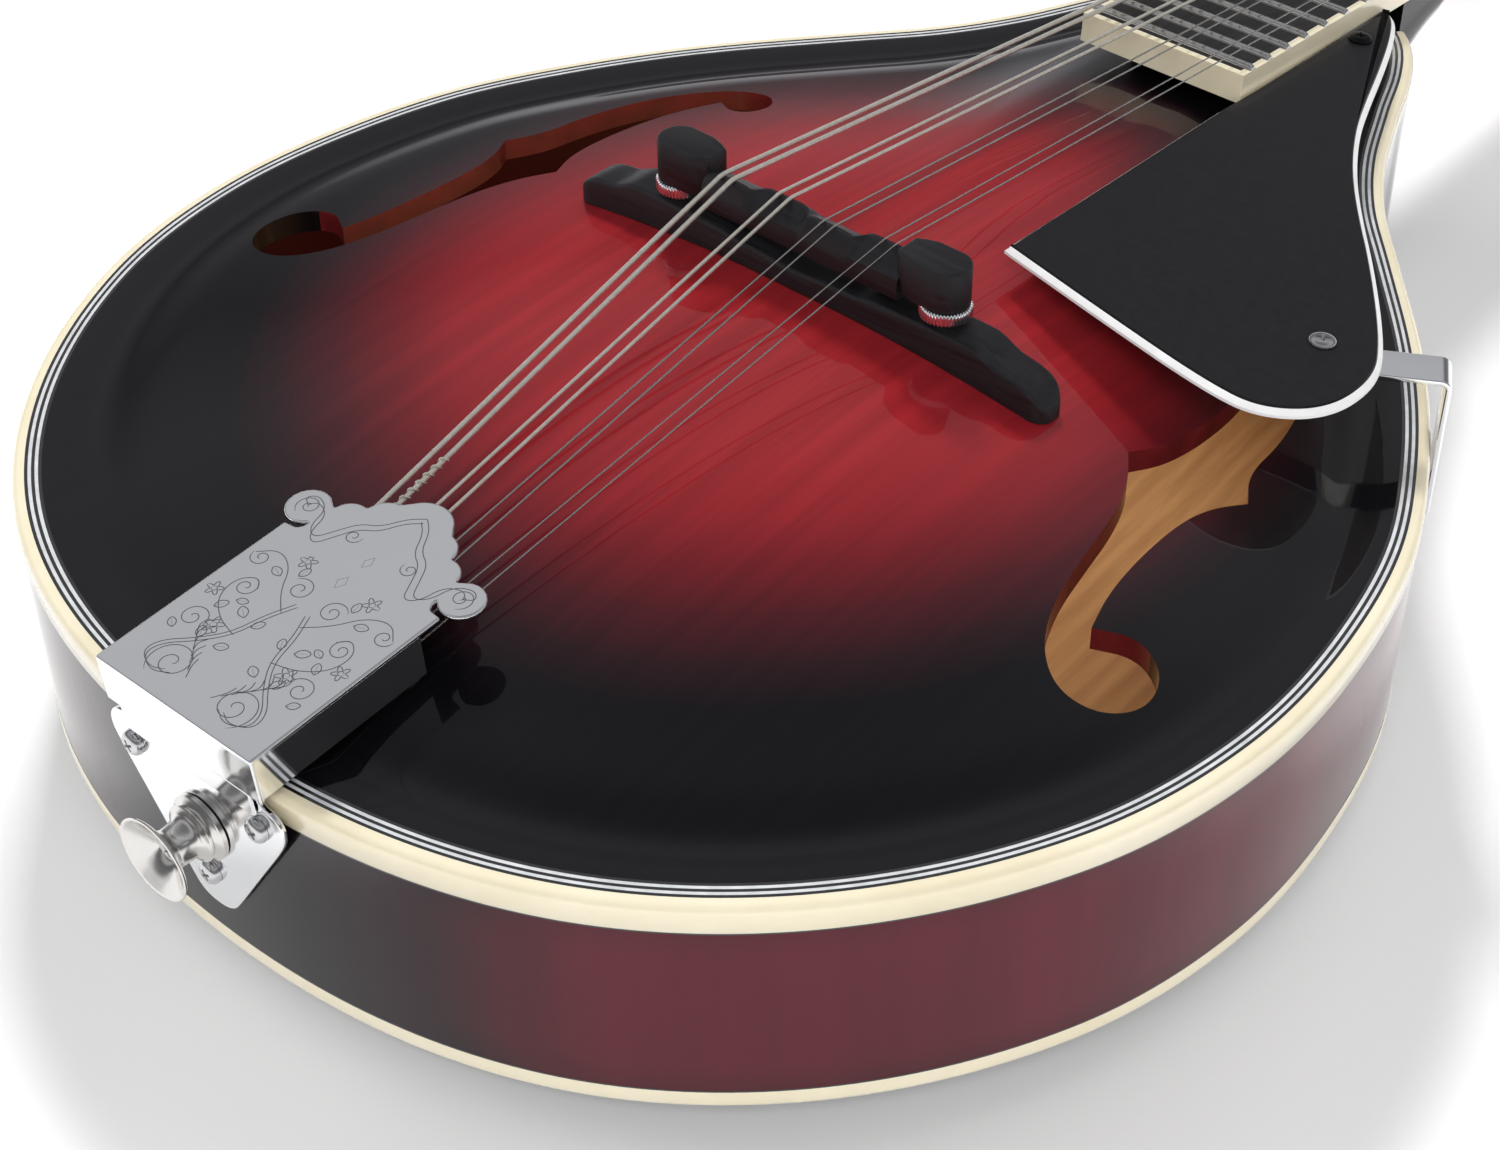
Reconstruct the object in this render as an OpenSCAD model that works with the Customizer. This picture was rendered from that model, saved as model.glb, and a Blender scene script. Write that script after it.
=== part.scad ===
// Mandolin, A style with f-holes. Units are millimetres.
// +Y runs from the tail to the headstock, +X is the treble side, +Z is up from the back to the top.
// Lengths are laid out from the tail edge of the body (y = 0) and shifted to the middle by place().

/* [Body] */
// Widest point of the lower bout
body_width = 254; // [240:1:270]
// Distance from the tail edge to the neck joint
joint_y = 331; // [310:1:345]
// Depth of the rim with both bindings
rim_depth = 46; // [40:0.5:55]
// Height of the top's arch
top_arch = 14; // [10:0.5:18]
// Height of the back's arch
back_arch = 12; // [8:0.5:15]
// Thickness of the ribs
rib_t = 2.2; // [1.5:0.1:3]
// Thickness of the carved plates
plate_t = 4.6; // [3.5:0.1:6]
// Height of the binding on the side
bind_h = 5.5; // [4:0.25:7]
// Height of the back binding on the side
back_bind_h = 4; // [3:0.25:7]
// Width of the binding on the face
bind_w = 2.2; // [1.5:0.1:3]
// Width of one purfling line
line_w = 0.6; // [0.4:0.05:0.8]

/* [Neck] */
// Scale length
scale_len = 352.4; // [345:0.1:360]
// Number of frets
fret_n = 19; // [17:1:24]
// Tilt of the neck
neck_tilt = 4.6; // [2:0.1:6]
// Rise of the neck's face over the top edge at the joint
board_rise = 3.7; // [2:0.1:8]
// Thickness of the fretboard
board_t = 6.5; // [5:0.1:8]
// Width at the nut
nut_width = 29; // [27:0.5:32]
// Width of the fretboard at its end
board_end_w = 41; // [38:0.5:46]
// Depth of the neck under the fretboard at the nut
neck_depth = 15; // [12:0.5:18]
// Angle of the headstock
head_angle = 11; // [8:0.5:16]
// Length of the headstock
head_len = 128; // [115:1:140]
// Thickness of the headstock
head_t = 13; // [11:0.5:15]

/* [Bridge] */
// Distance from the tail edge to the bridge
bridge_y = 147; // [135:0.5:165]
// Height of the strings over the top edge at the bridge
string_h = 29.5; // [26:0.5:34]
// Length of the bridge base
bridge_len = 114; // [105:1:120]
// Distance between the bridge posts
post_gap = 64; // [58:1:72]
// Spread of the strings at the bridge
bridge_spread = 39; // [36:0.5:42]
// Gap between the strings of a course
course_gap = 2.6; // [2:0.1:3.5]
// Height of the thumbwheels over the top's arch
wheel_z = 6.7; // [6:0.1:10]

/* [Tailpiece] */
// Width of the tailpiece cover
cover_w = 37; // [34:0.5:46]
// Length of the tailpiece cover
cover_len = 40; // [32:0.5:60]
// Height of the cover over the top edge
cover_h = 10.5; // [8:0.5:14]

/* [Tuners] */
// Distance between tuner posts
post_pitch = 23; // [22:0.1:25]
// Half distance between the two rows of posts
post_x = 18; // [16:0.5:20]
// Teeth on a tuner gear
gear_teeth = 16; // [12:1:18]

/* [Hidden] */
$fn = 32;

zt = back_arch + rim_depth;          // plane of the top edge
zb = back_arch;                      // plane of the back edge
cy = 142.7;                          // centre the outline is drawn about
wk = body_width / 255;
plate_in = bind_w + 5 * line_w;      // inner edge of the purfling
nut_w = 4.5;
nut_ly = scale_len - (joint_y - bridge_y);
board_l0 = nut_ly - scale_len * (1 - pow(2, -fret_n / 12)) - 4;
// overall ends, for the middle of the box
strap_len = 10.4;
y_lo = -1.4 - strap_len - 0.1;
y_hi = joint_y + (nut_ly + nut_w) * cos(neck_tilt) + head_len * cos(neck_tilt + head_angle);
y_mid = (y_lo + y_hi) / 2;

CREAM = [0.90, 0.87, 0.74]; EBONY = [0.07, 0.06, 0.07]; CHROME = [0.78, 0.79, 0.80];
RED = [0.42, 0.05, 0.09]; DARK = [0.12, 0.02, 0.04]; WOOD = [0.72, 0.52, 0.32];
BONE = [0.93, 0.91, 0.85]; BRONZE = [0.72, 0.55, 0.35]; STEEL = [0.70, 0.70, 0.72];
BLACK = [0.03, 0.03, 0.03]; WHITE = [0.92, 0.92, 0.90];

// ---------------------------------------------------------------- outline
// half outline from the tail (-90) to the neck (90) as radii about the centre
PH = [-90, -60, -30, -15, 0, 12, 24, 36, 48, 57, 64, 70, 75, 78.5, 81, 83.5, 85.5, 90];
RR = [142.7, 143.7, 137.2, 131.9, 126, 122.7, 119.6, 119, 121, 125.3, 131.5, 142, 157, 171.3, 180.5, 187, 189.5, 189.3];
function seg(p, i = 0) = i >= len(PH) - 2 || p < PH[i + 1] ? i : seg(p, i + 1);
function slope(i) = i == 0 || i == len(PH) - 1 ? 0 : (RR[i + 1] - RR[i - 1]) / (PH[i + 1] - PH[i - 1]);
function rad(p) = let(i = seg(p), h = PH[i + 1] - PH[i], t = (p - PH[i]) / h)
    (2*t*t*t - 3*t*t + 1) * RR[i] + (t*t*t - 2*t*t + t) * h * slope(i)
    + (3*t*t - 2*t*t*t) * RR[i + 1] + (t*t*t - t*t) * h * slope(i + 1);
// point on the outline at turn a from the tail, treble side positive
function base(a) = a > 180 ? base(a - 360) : a < -180 ? base(a + 360)
    : let(p = -90 + abs(a), r = rad(p)) [(a < 0 ? -1 : 1) * r * cos(p) * wk, cy + r * sin(p) + (p > 60 ? (joint_y - 331) * (p - 60) / 30 : 0)];
function edge(a, d) = let(t = base(a + 0.4) - base(a - 0.4)) base(a) + d * [-t.y, t.x] / norm(t);
// ring point: offset d from the edge, then scaled s about the centre, at height z
function rp(a, q) = let(e = edge(a, q[0])) [e.x * q[1], cy + (e.y - cy) * q[1], q[2]];
HALF = concat([for (a = [0:5:135]) a], [for (a = [138:3:180]) a]);
FULL = concat([for (i = [len(HALF) - 2:-1:1]) -HALF[i]], HALF);
function span(lo, hi) = concat([lo], [for (a = FULL) if (a > lo + 0.6 && a < hi - 0.6) a], [hi]);

// closed ring round the body from a closed section
module ring(prof) {
    n = len(prof); m = len(FULL);
    polyhedron([for (a = FULL) for (q = prof) rp(a, q)],
        [for (i = [0:m - 1]) for (k = [0:n - 1]) let(j = (i + 1) % m, l = (k + 1) % n) [i*n + k, i*n + l, j*n + l, j*n + k]], convexity = 8);
}
// open strip between two turns
module strip(prof, lo, hi) {
    A = span(lo, hi); n = len(prof); m = len(A);
    polyhedron([for (a = A) for (q = prof) rp(a, q)],
        concat([for (i = [0:m - 2]) for (k = [0:n - 1]) let(l = (k + 1) % n) [i*n + k, i*n + l, (i + 1)*n + l, (i + 1)*n + k]],
            [[for (k = [n - 1:-1:0]) k]], [[for (k = [0:n - 1]) (m - 1)*n + k]]), convexity = 8);
}
// plate with a pole at both ends of its section
module plate(lo, prof, hi) {
    n = len(prof); m = len(FULL); L = m * n;
    polyhedron(concat([for (a = FULL) for (q = prof) rp(a, q)], [[0, cy, lo], [0, cy, hi]]),
        concat([for (i = [0:m - 1]) for (k = [0:n - 2]) let(j = (i + 1) % m) [i*n + k, i*n + k + 1, j*n + k + 1, j*n + k]],
            [for (i = [0:m - 1]) [L, i*n, ((i + 1) % m)*n]],
            [for (i = [0:m - 1]) [i*n + n - 1, L + 1, ((i + 1) % m)*n + n - 1]]), convexity = 10);
}
function arch(s) = let(u = min(1, s / 0.95)) top_arch * pow(1 - u*u, 1.5) - 0.9 * exp(-pow((s - 0.93) / 0.045, 2));
function barch(s) = let(u = min(1, max(0, (s - 0.2) / 0.74))) back_arch * pow(1 - u*u, 1.5) - 0.7 * exp(-pow((s - 0.94) / 0.04, 2));
function polar(x, y) = atan2(y - cy, abs(x));
function s_at(x, y) = let(v = norm([x, y - cy])) v < 0.01 ? 0 : v / (rad(polar(x, y)) * wk - plate_in);
function top_z(x, y) = zt + arch(s_at(x, y));

// swept tube along points
function unit(v) = v / norm(v);
module tube(pts, r, n = 6) {
    m = len(pts);
    T = [for (i = [0:m - 1]) unit(pts[min(i + 1, m - 1)] - pts[max(i - 1, 0)])];
    U = [for (t = T) unit(cross(abs(t.z) > 0.9 ? [1, 0, 0] : [0, 0, 1], t))];
    polyhedron([for (i = [0:m - 1]) for (k = [0:n - 1]) pts[i] + r * (cos(360*k/n) * U[i] + sin(360*k/n) * cross(T[i], U[i]))],
        concat([for (i = [0:m - 2]) for (k = [0:n - 1]) let(l = (k + 1) % n) [i*n + k, (i + 1)*n + k, (i + 1)*n + l, i*n + l]],
            [[for (k = [0:n - 1]) k]], [[for (k = [n - 1:-1:0]) (m - 1)*n + k]]), convexity = 6);
}

// ---------------------------------------------------------------- frames
module place() { translate([0, -y_mid, 0]) children(); }
module in_neck() { place() translate([0, joint_y, zt + board_rise]) rotate([-neck_tilt, 0, 0]) children(); }
module in_head() { in_neck() translate([0, nut_ly + nut_w, 0]) rotate([-head_angle, 0, 0]) children(); }
function from_neck(p) = let(c = cos(neck_tilt), s = sin(neck_tilt)) [p.x, joint_y + p.y*c + p.z*s, zt + board_rise - p.y*s + p.z*c];
function from_head(p) = let(c = cos(head_angle), s = sin(head_angle)) from_neck([p.x, nut_ly + nut_w + p.y*c + p.z*s, -p.y*s + p.z*c]);
module facets() { resize([0, 0, 0]) union() children(); }

// countersunk or round screw pointing down -Z, head on top at z = 0
module screw(r, l, hr, hh = 1.2) {
    difference() {
        union() { cylinder(h = hh, r1 = hr, r2 = hr * 0.7); translate([0, 0, -l + 1.5]) cylinder(h = l - 1.5, r = r); translate([0, 0, -l]) cylinder(h = 1.5, r1 = 0.2, r2 = r); }
        for (a = [0, 90]) rotate(a) translate([-hr * 0.55, -0.3, hh - 0.7]) cube([hr * 1.1, 0.6, 1]);
    }
}

// ---------------------------------------------------------------- f-holes
// half outline control points, corners and cusps doubled
FH = [[91.5, 112], [91.5, 112], [89, 120], [87.6, 131], [87.3, 144], [89, 151.5], [92.4, 157.3], [92.4, 157.3], [88, 164], [87, 176],
    [83.5, 189], [77, 199.5], [70, 206], [63, 207.5], [58.6, 203.5], [59, 198], [63.6, 195.2], [68.8, 198.2], [68.8, 198.2], [72.3, 190],
    [74.4, 180], [75, 168], [74, 158], [70.8, 151], [70.8, 151], [75.5, 144.5], [78.6, 136], [80.6, 126], [83, 114],
    [87.5, 103.5], [95, 97.2], [103.5, 97.8], [108.2, 104.5], [106, 112.5], [98.5, 116.2]];
module fhole2d() polygon(smooth([for (p = FH) [p.x * wk, p.y]], 1));

module soundboard() place() color(RED) resize([0, 0, 0]) difference() {
    plate(zt + arch(0) - plate_t,
        concat([for (s = [0.18, 0.36, 0.54, 0.70, 0.84, 0.93]) [plate_in, s, zt + arch(s) - plate_t]],
            [[bind_w, 1, zt - bind_h], [bind_w, 1, zt - 1.6], [plate_in, 1, zt - 1.6], [plate_in, 1, zt]],
            [for (s = [0.96, 0.93, 0.89, 0.83, 0.74, 0.64, 0.52, 0.40, 0.28, 0.15]) [plate_in, s, zt + arch(s)]]),
        zt + arch(0));
    for (m = [0, 1]) mirror([m, 0, 0]) translate([0, 0, zt - 12]) linear_extrude(40) fhole2d();
}
module back_plate() place() color(RED)
    plate(0, concat([for (s = [0.2, 0.36, 0.5, 0.62, 0.73, 0.83, 0.90, 0.94, 0.97]) [bind_w, s, zb - barch(s)]],
        [[bind_w, 1, zb], [bind_w, 1, zb + back_bind_h]],
        [for (s = [0.93, 0.84, 0.68, 0.5, 0.34, 0.2]) [bind_w, s, zb + min(back_bind_h - 0.05, plate_t - barch(s))]]), plate_t);
rib_prof = [[0, 1, zb + back_bind_h], [0, 1, zt - bind_h], [rib_t, 1, zt - bind_h], [rib_t, 1, zb + back_bind_h]];
module rib_bass() place() color(RED) strip(rib_prof, -176, 0);
module rib_treble() place() color(RED) strip(rib_prof, 0, 176);
module top_binding() place() color(CREAM)
    strip([[0, 1, zt - bind_h], [-0.15, 1, zt - bind_h + 0.4], [-0.15, 1, zt - 1.1], [0.6, 1, zt], [bind_w, 1, zt], [bind_w, 1, zt - bind_h]], -173, 173);
module back_binding() place() color(CREAM)
    strip([[0.8, 1, zb], [-0.15, 1, zb + 1], [-0.15, 1, zb + back_bind_h - 0.4], [0, 1, zb + back_bind_h], [bind_w, 1, zb + back_bind_h], [bind_w, 1, zb]], -174, 174);
module purfling() place() for (i = [0:4])
    color(i % 2 == 0 ? BLACK : WHITE) strip([for (q = [[0.01, -1.6], [0.01, 0], [line_w - 0.01, 0], [line_w - 0.01, -1.6]]) [bind_w + i * line_w + q[0], 1, zt + q[1]]], -173, 173);
module linings() place() color(WOOD) for (m = [0, 1]) mirror([m, 0, 0]) {
    strip([[rib_t, 1, zt - bind_h - 9], [rib_t, 1, zt - bind_h], [rib_t + 6, 1, zt - bind_h], [rib_t + 6, 1, zt - bind_h - 3]], 14, 156);
    strip([[rib_t, 1, zb + back_bind_h], [rib_t, 1, zb + back_bind_h + 9], [rib_t + 6, 1, zb + back_bind_h + 3], [rib_t + 6, 1, zb + back_bind_h]], 14, 156);
}
block_lo = zb + back_bind_h; block_h = rim_depth - bind_h - back_bind_h;
module neck_block() place() color(WOOD) difference() {
    translate([0, 0, block_lo]) linear_extrude(block_h)
        polygon(concat([for (a = [162, 165, 168, 171, 174, 176, 178]) edge(a, rib_t + 0.15)], [for (a = [178, 176, 174, 171, 168, 165, 162]) edge(-a, rib_t + 0.15)]));
    translate([-11, joint_y - 26, block_lo + 4]) cube([22, 40, block_h]);
}
module tail_block() place() color(WOOD) translate([0, 0, block_lo]) difference() {
    linear_extrude(block_h) polygon(concat([for (a = [-10:5:10]) edge(a, rib_t + 0.1)], [[24, 22], [-24, 22]]));
    translate([0, -5, strap_z() - block_lo]) rotate([-90, 0, 0]) cylinder(h = 22, r = 2.1);
}
module tone_bar(x0, x1) {
    N = 12; L0 = 78; L1 = 232;
    function by(i) = L0 + (L1 - L0) * i / N;
    function bx(i) = x0 + (x1 - x0) * i / N;
    function bz(i) = min(top_z(bx(i) - 3, by(i)), top_z(bx(i) + 3, by(i))) - plate_t - 0.25;
    function bd(i) = 3 + 9 * pow(sin(180 * i / N), 0.7);
    P = [for (i = [0:N]) for (q = [[-3, -bd(i)], [3, -bd(i)], [3, 0], [-3, 0]]) [bx(i) + q[0], by(i), bz(i) + q[1]]];
    polyhedron(P, concat([for (i = [0:N - 1]) for (k = [0:3]) let(l = (k + 1) % 4) [i*4 + k, i*4 + l, (i + 1)*4 + l, (i + 1)*4 + k]],
        [[3, 2, 1, 0]], [[for (k = [0:3]) N*4 + k]]), convexity = 4);
}
module tone_bars() place() color(WOOD) { tone_bar(-38, -20); tone_bar(38, 20); }

// ---------------------------------------------------------------- neck
// half width of the neck at local y
function half_w(y) = let(t = (nut_ly - y) / (nut_ly - board_l0)) nut_width / 2 + t * (board_end_w - nut_width) / 2;
heel_l = 30;
function depth_at(y) = let(t = max(0, 1 - y / heel_l)) neck_depth + 2.2 * (nut_ly - y) / nut_ly + (zt - zb - 3.2 + board_rise - neck_depth) * t * t;
NS = 16;
function nsec(y) = let(w = half_w(y), d = depth_at(y), e = y < heel_l ? 0.75 : 1)
    [for (k = [0:NS]) let(a = 180 * k / NS) [-w * cos(a) * (1 - 0.3 * (1 - y / nut_ly) * pow(sin(a), 3) * (y < heel_l ? 1 - y / heel_l : 0)),
        y + max(0, 1 - y / heel_l) * (0.9 + d * pow(sin(a), e) * tan(neck_tilt)), -d * pow(sin(a), e)]];
module neck_shaft() {
    Y = [0, 3, 7, 12, 18, 24, 30, 60, 120, nut_ly + nut_w];
    n = NS + 1; m = len(Y);
    polyhedron([for (y = Y) for (p = nsec(y)) p],
        concat([for (i = [0:m - 2]) for (k = [0:n - 1]) let(l = (k + 1) % n) [i*n + k, i*n + l, (i + 1)*n + l, (i + 1)*n + k]],
            [[for (k = [n - 1:-1:0]) k]], [[for (k = [0:n - 1]) (m - 1)*n + k]]), convexity = 6);
}
head_half = [[14.9, 0], [16.7, 6], [23, 15], [29, 21], [30.5, 30], [31, 60], [32.5, 92], [35, 108], [34, 117], [27, 122], [18, 121], [10, 124], [4, 128], [0, 128]];
module head2d(g = 0) { k = head_len / 128; offset(delta = -g) polygon([for (s = [1, -1]) for (i = [0:len(head_half) - 1]) let(p = head_half[s > 0 ? i : len(head_half) - 1 - i]) [s * p.x, p.y * k]]); }
post_y = [for (i = [0:3]) 30 + i * post_pitch];
worm_off = 8.6;
module neck() color(DARK) in_neck() resize([0, 0, 0]) difference() {
    union() {
        neck_shaft();
        rotate([neck_tilt, 0, 0]) translate([-10.8, -25.8, block_lo + 4.2 - zt - board_rise]) cube([21.6, 30, block_h - 4.6]);
        translate([0, nut_ly + nut_w, 0]) rotate([-head_angle, 0, 0]) translate([0, 0, -head_t]) linear_extrude(head_t) difference() {
            head2d();
            for (s = [-1, 1]) for (y = post_y) translate([s * post_x, y]) circle(4.1, $fn = 20);
        }
    }
    // channel for the truss rod, open under the fretboard
    translate([-3, 4, -8.5]) cube([6, nut_ly + nut_w, 9]);
    // pocket for the rod's nut
    translate([-4.5, nut_ly + nut_w - 1, -8.5]) cube([9, 20, 12]);
}
module headstock_veneer() color(BLACK) in_head() resize([0, 0, 0]) linear_extrude(1.6) difference() {
    head2d();
    translate([-40, -10]) square([80, 12.2]);
    for (s = [-1, 1]) for (y = post_y) translate([s * post_x, y]) circle(4.1, $fn = 20);
    translate([-4.5, -1]) square([9, 16]);
}
rod_r = 2.4;
module truss_rod() color(STEEL) in_neck() {
    translate([0, 8, -5]) rotate([-90, 0, 0]) cylinder(h = nut_ly + 1, r = rod_r);
    translate([-2.9, 6, -8.2]) cube([5.8, 3, 6]);
}
module truss_rod_nut() color(BRONZE) in_neck() translate([0, nut_ly + 9.3, -5]) rotate([-90, 0, 0])
    difference() { union() { cylinder(h = 8, r = 3.4, $fn = 6); } translate([0, 0, 3]) cylinder(h = 6, r = 1.8, $fn = 6); }
module truss_rod_cover() color(BLACK) in_head() translate([0, 0, 1.7]) resize([0, 0, 0]) linear_extrude(1.6) difference() {
    polygon(concat([[-7, 1], [7, 1]], [for (i = [0:8]) let(t = i / 8) [7 + 4.5 * sin(90 * t) * (1 - 0.25*t), 1 + 22 * t]], [for (i = [0:6]) let(a = 20 + 140 * i / 6) [10 * cos(a), 23 + 6 * sin(a)]],
        [for (i = [8:-1:0]) let(t = i / 8) [-7 - 4.5 * sin(90 * t) * (1 - 0.25*t), 1 + 22 * t]]));
    for (p = [[-5.4, 3.5], [5.4, 3.5], [0, 25]]) translate(p) circle(1.05, $fn = 16);
}
module headstock_screws() color(STEEL) in_head() {
    for (p = [[-5.4, 3.5], [5.4, 3.5], [0, 25]]) translate([p.x, p.y, 3.3]) screw(0.95, 8, 1.9, 0.8);
    for (s = [-1, 1]) for (y = [post_y[0] - 17.5, post_y[1] - 3.2, post_y[2] - 3.2, post_y[3] + 12]) translate([s * (post_x - 5.8), y, -head_t - 1.3]) rotate([180, 0, 0]) screw(0.95, 8, 1.8, 0.8);
}

// ---------------------------------------------------------------- fretboard
bl = 1.7; // binding on the board
function fret_y(n) = nut_ly - scale_len * (1 - pow(2, -n / 12));
module fretboard() color(EBONY) in_neck() difference() {
    linear_extrude(board_t) polygon([[-half_w(board_l0 + bl) + bl, board_l0 + bl], [half_w(board_l0 + bl) - bl, board_l0 + bl], [half_w(nut_ly) - bl, nut_ly], [-half_w(nut_ly) + bl, nut_ly]]);
    for (n = [1:fret_n]) translate([-30, fret_y(n) - 0.35, board_t - 2.1]) cube([60, 0.7, 3]);
    for (p = dots()) translate([p.x, p.y, board_t - 1.2]) cylinder(h = 2, r = 3.1, $fn = 20);
}
function dot_y(n) = (fret_y(n) + fret_y(n - 1)) / 2;
function dots() = [[0, dot_y(5)], [0, dot_y(7)], [0, dot_y(10)], [-6, dot_y(12)], [6, dot_y(12)], [0, dot_y(15)]];
module fretboard_binding() color(CREAM) in_neck() difference() {
    linear_extrude(board_t) difference() {
        polygon([[-half_w(board_l0), board_l0], [half_w(board_l0), board_l0], [half_w(nut_ly), nut_ly], [-half_w(nut_ly), nut_ly]]);
        polygon([[-half_w(board_l0 + bl) + bl, board_l0 + bl], [half_w(board_l0 + bl) - bl, board_l0 + bl], [half_w(nut_ly + 1) - bl, nut_ly + 1], [-half_w(nut_ly + 1) + bl, nut_ly + 1]]);
    }
    for (n = [5, 7, 10, 12, 15]) translate([-half_w(dot_y(n)) - 1, dot_y(n), board_t - 2.6]) rotate([0, 90, 0]) cylinder(h = 2.2, r = 1.05, $fn = 16);
}
module frets() color(STEEL) in_neck() for (n = [1:fret_n]) {
    w = half_w(fret_y(n)) - 0.1;
    translate([0, fret_y(n), board_t]) rotate([90, 0, 0]) translate([0, 0, -1.05]) linear_extrude(2.1) polygon([[-w, 0], [w, 0], [w - 0.8, 1.0], [-w + 0.8, 1.0]]);
    translate([-w + bl, fret_y(n) - 0.28, board_t - 1.9]) cube([2 * w - 2 * bl, 0.56, 1.95]);
}
module position_dots() color(BONE) in_neck() {
    for (p = dots()) translate([p.x, p.y, board_t - 1.2]) cylinder(h = 1.2, r = 3.1, $fn = 20);
    for (n = [5, 7, 10, 12, 15]) color(BLACK) translate([-half_w(dot_y(n)) - 0.05, dot_y(n), board_t - 2.6]) rotate([0, 90, 0]) cylinder(h = 1.2, r = 1.05, $fn = 16);
}
function course_x(i, spread, gap) = let(c = floor(i / 2), o = i % 2) -spread/2 + gap/2 + c * (spread - gap) / 3 + (o == 0 ? -gap/2 : gap/2);
nut_spread = 23.5; nut_gap = 2.3; nut_top = board_t + 2.3;
module nut() color(BONE) in_neck() difference() {
    translate([-nut_width/2, nut_ly, 0]) cube([nut_width, nut_w, nut_top]);
    translate([-20, nut_ly + 1.4, nut_top]) rotate([-22, 0, 0]) cube([40, 8, 4]);
    for (i = [0:7]) translate([course_x(i, nut_spread, nut_gap), nut_ly - 1, board_t + 1.62]) rotate([-90, 0, 0]) union() { cylinder(h = nut_w + 2, r = string_r(i) + 0.15, $fn = 12); translate([-string_r(i) - 0.15, -4, 0]) cube([2*string_r(i) + 0.3, 4, nut_w + 2]); }
}
support_y = joint_y - 58;
module fretboard_support() place() color(EBONY) resize([0, 0, 0]) support_solid();
module support_solid() {
    // wedge from the top to the underside of the board
    N = 6; w = 15;
    function sy(i) = support_y + (joint_y - 1 - support_y) * i / N;
    function hi(y) = zt + board_rise + (joint_y - y) * tan(neck_tilt) - 0.15;
    P = [for (i = [0:N]) let(y = sy(i)) for (q = [0, 1, 2, 3]) [q == 0 || q == 3 ? -w : w, y, q < 2 ? max(top_z(0, y), zt) + 0.15 : hi(y)]];
    polyhedron(P, concat([for (i = [0:N - 1]) for (k = [0:3]) let(l = (k + 1) % 4) [i*4 + k, i*4 + l, (i + 1)*4 + l, (i + 1)*4 + k]],
        [[3, 2, 1, 0]], [[for (k = [0:3]) N*4 + k]]), convexity = 4);
}

// ---------------------------------------------------------------- bridge
bz = zt + top_arch;                  // top of the arch under the bridge
base_h = wheel_z - 1.3;
wheel_t = 2.4;
saddle_z = bz + wheel_z + wheel_t + 0.1;
module bridge_base() place() color(EBONY) resize([0, 0, 0]) base_solid();
module base_solid() {
    N = 28; H = bridge_len / 2;
    // half depth along y and top height at offset x
    function hd(x) = let(u = abs(x) / H) 5.2 - 1.4 * u + (u > 0.9 ? -14 * pow(u - 0.9, 1) : 0);
    // height of the ends at v, from the wheel seat (0) to the tip (1)
    function tip(v) = v < 0.3 ? 6.7 + 1.5 * (0.5 + 0.5 * cos(180 * v / 0.3)) : v < 0.62 ? 6.7 : 2 + 4.7 * sqrt(max(0, 1 - pow((v - 0.62) / 0.38, 2)));
    function th(x) = let(u = abs(x)) u < 16 ? 5.7 - 0.7 * cos(180 * u / 16) - 0.7 : u < H * 0.70 ? base_h : tip((u - H * 0.7) / (H * 0.3));
    P = [for (i = [0:N]) let(x = -H + 2 * H * i / N, d = hd(x), bl = top_z(x, bridge_y - d) + 0.14, br = top_z(x, bridge_y + d) + 0.14, b = min(bl, br))
        for (q = [[-d, bl], [-d, min(b + th(x), bz + th(x)) - 1], [-d + 1, min(b + th(x), bz + th(x))], [d - 1, min(b + th(x), bz + th(x))], [d, min(b + th(x), bz + th(x)) - 1], [d, br]]) [x, bridge_y + q[0], abs(x) < H * 0.70 && q[1] > b + 0.6 && abs(x) >= 16 ? bz + base_h - (q[1] < b + th(x) - 0.5 ? 1 : 0) : q[1]]];
    difference() {
        polyhedron(P, concat([for (i = [0:N - 1]) for (k = [0:5]) let(l = (k + 1) % 6) [i*6 + k, i*6 + l, (i + 1)*6 + l, (i + 1)*6 + k]],
            [[for (k = [5:-1:0]) k]], [[for (k = [0:5]) N*6 + k]]), convexity = 6);
        for (s = [-1, 1]) translate([s * post_gap / 2, bridge_y, bz + 0.4]) cylinder(h = 20, r = 1.5, $fn = 24);
    }
}
module bridge_posts() place() color(STEEL) for (s = [-1, 1]) translate([s * post_gap / 2, bridge_y, bz + 0.5]) {
    // drawn at the root of its thread
    cylinder(h = 17, r = 1.4);
    translate([0, 0, 17]) cylinder(h = 0.6, r1 = 1.4, r2 = 1);
}
module wheel() linear_extrude(wheel_t) difference() {
    // knurled rim
    polygon([for (i = [0:35]) for (q = [[4.55, 0], [4.55, 3.4], [4.9, 5], [4.9, 8.4]]) q[0] * [cos(10*i + q[1]), sin(10*i + q[1])]]);
    circle(2.1, $fn = 32);
}
module thumbwheel_bass() place() color(CHROME) translate([-post_gap / 2, bridge_y, bz + wheel_z]) wheel();
module thumbwheel_treble() place() color(CHROME) translate([post_gap / 2, bridge_y, bz + wheel_z]) wheel();
crest_z = zt + string_h;
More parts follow.
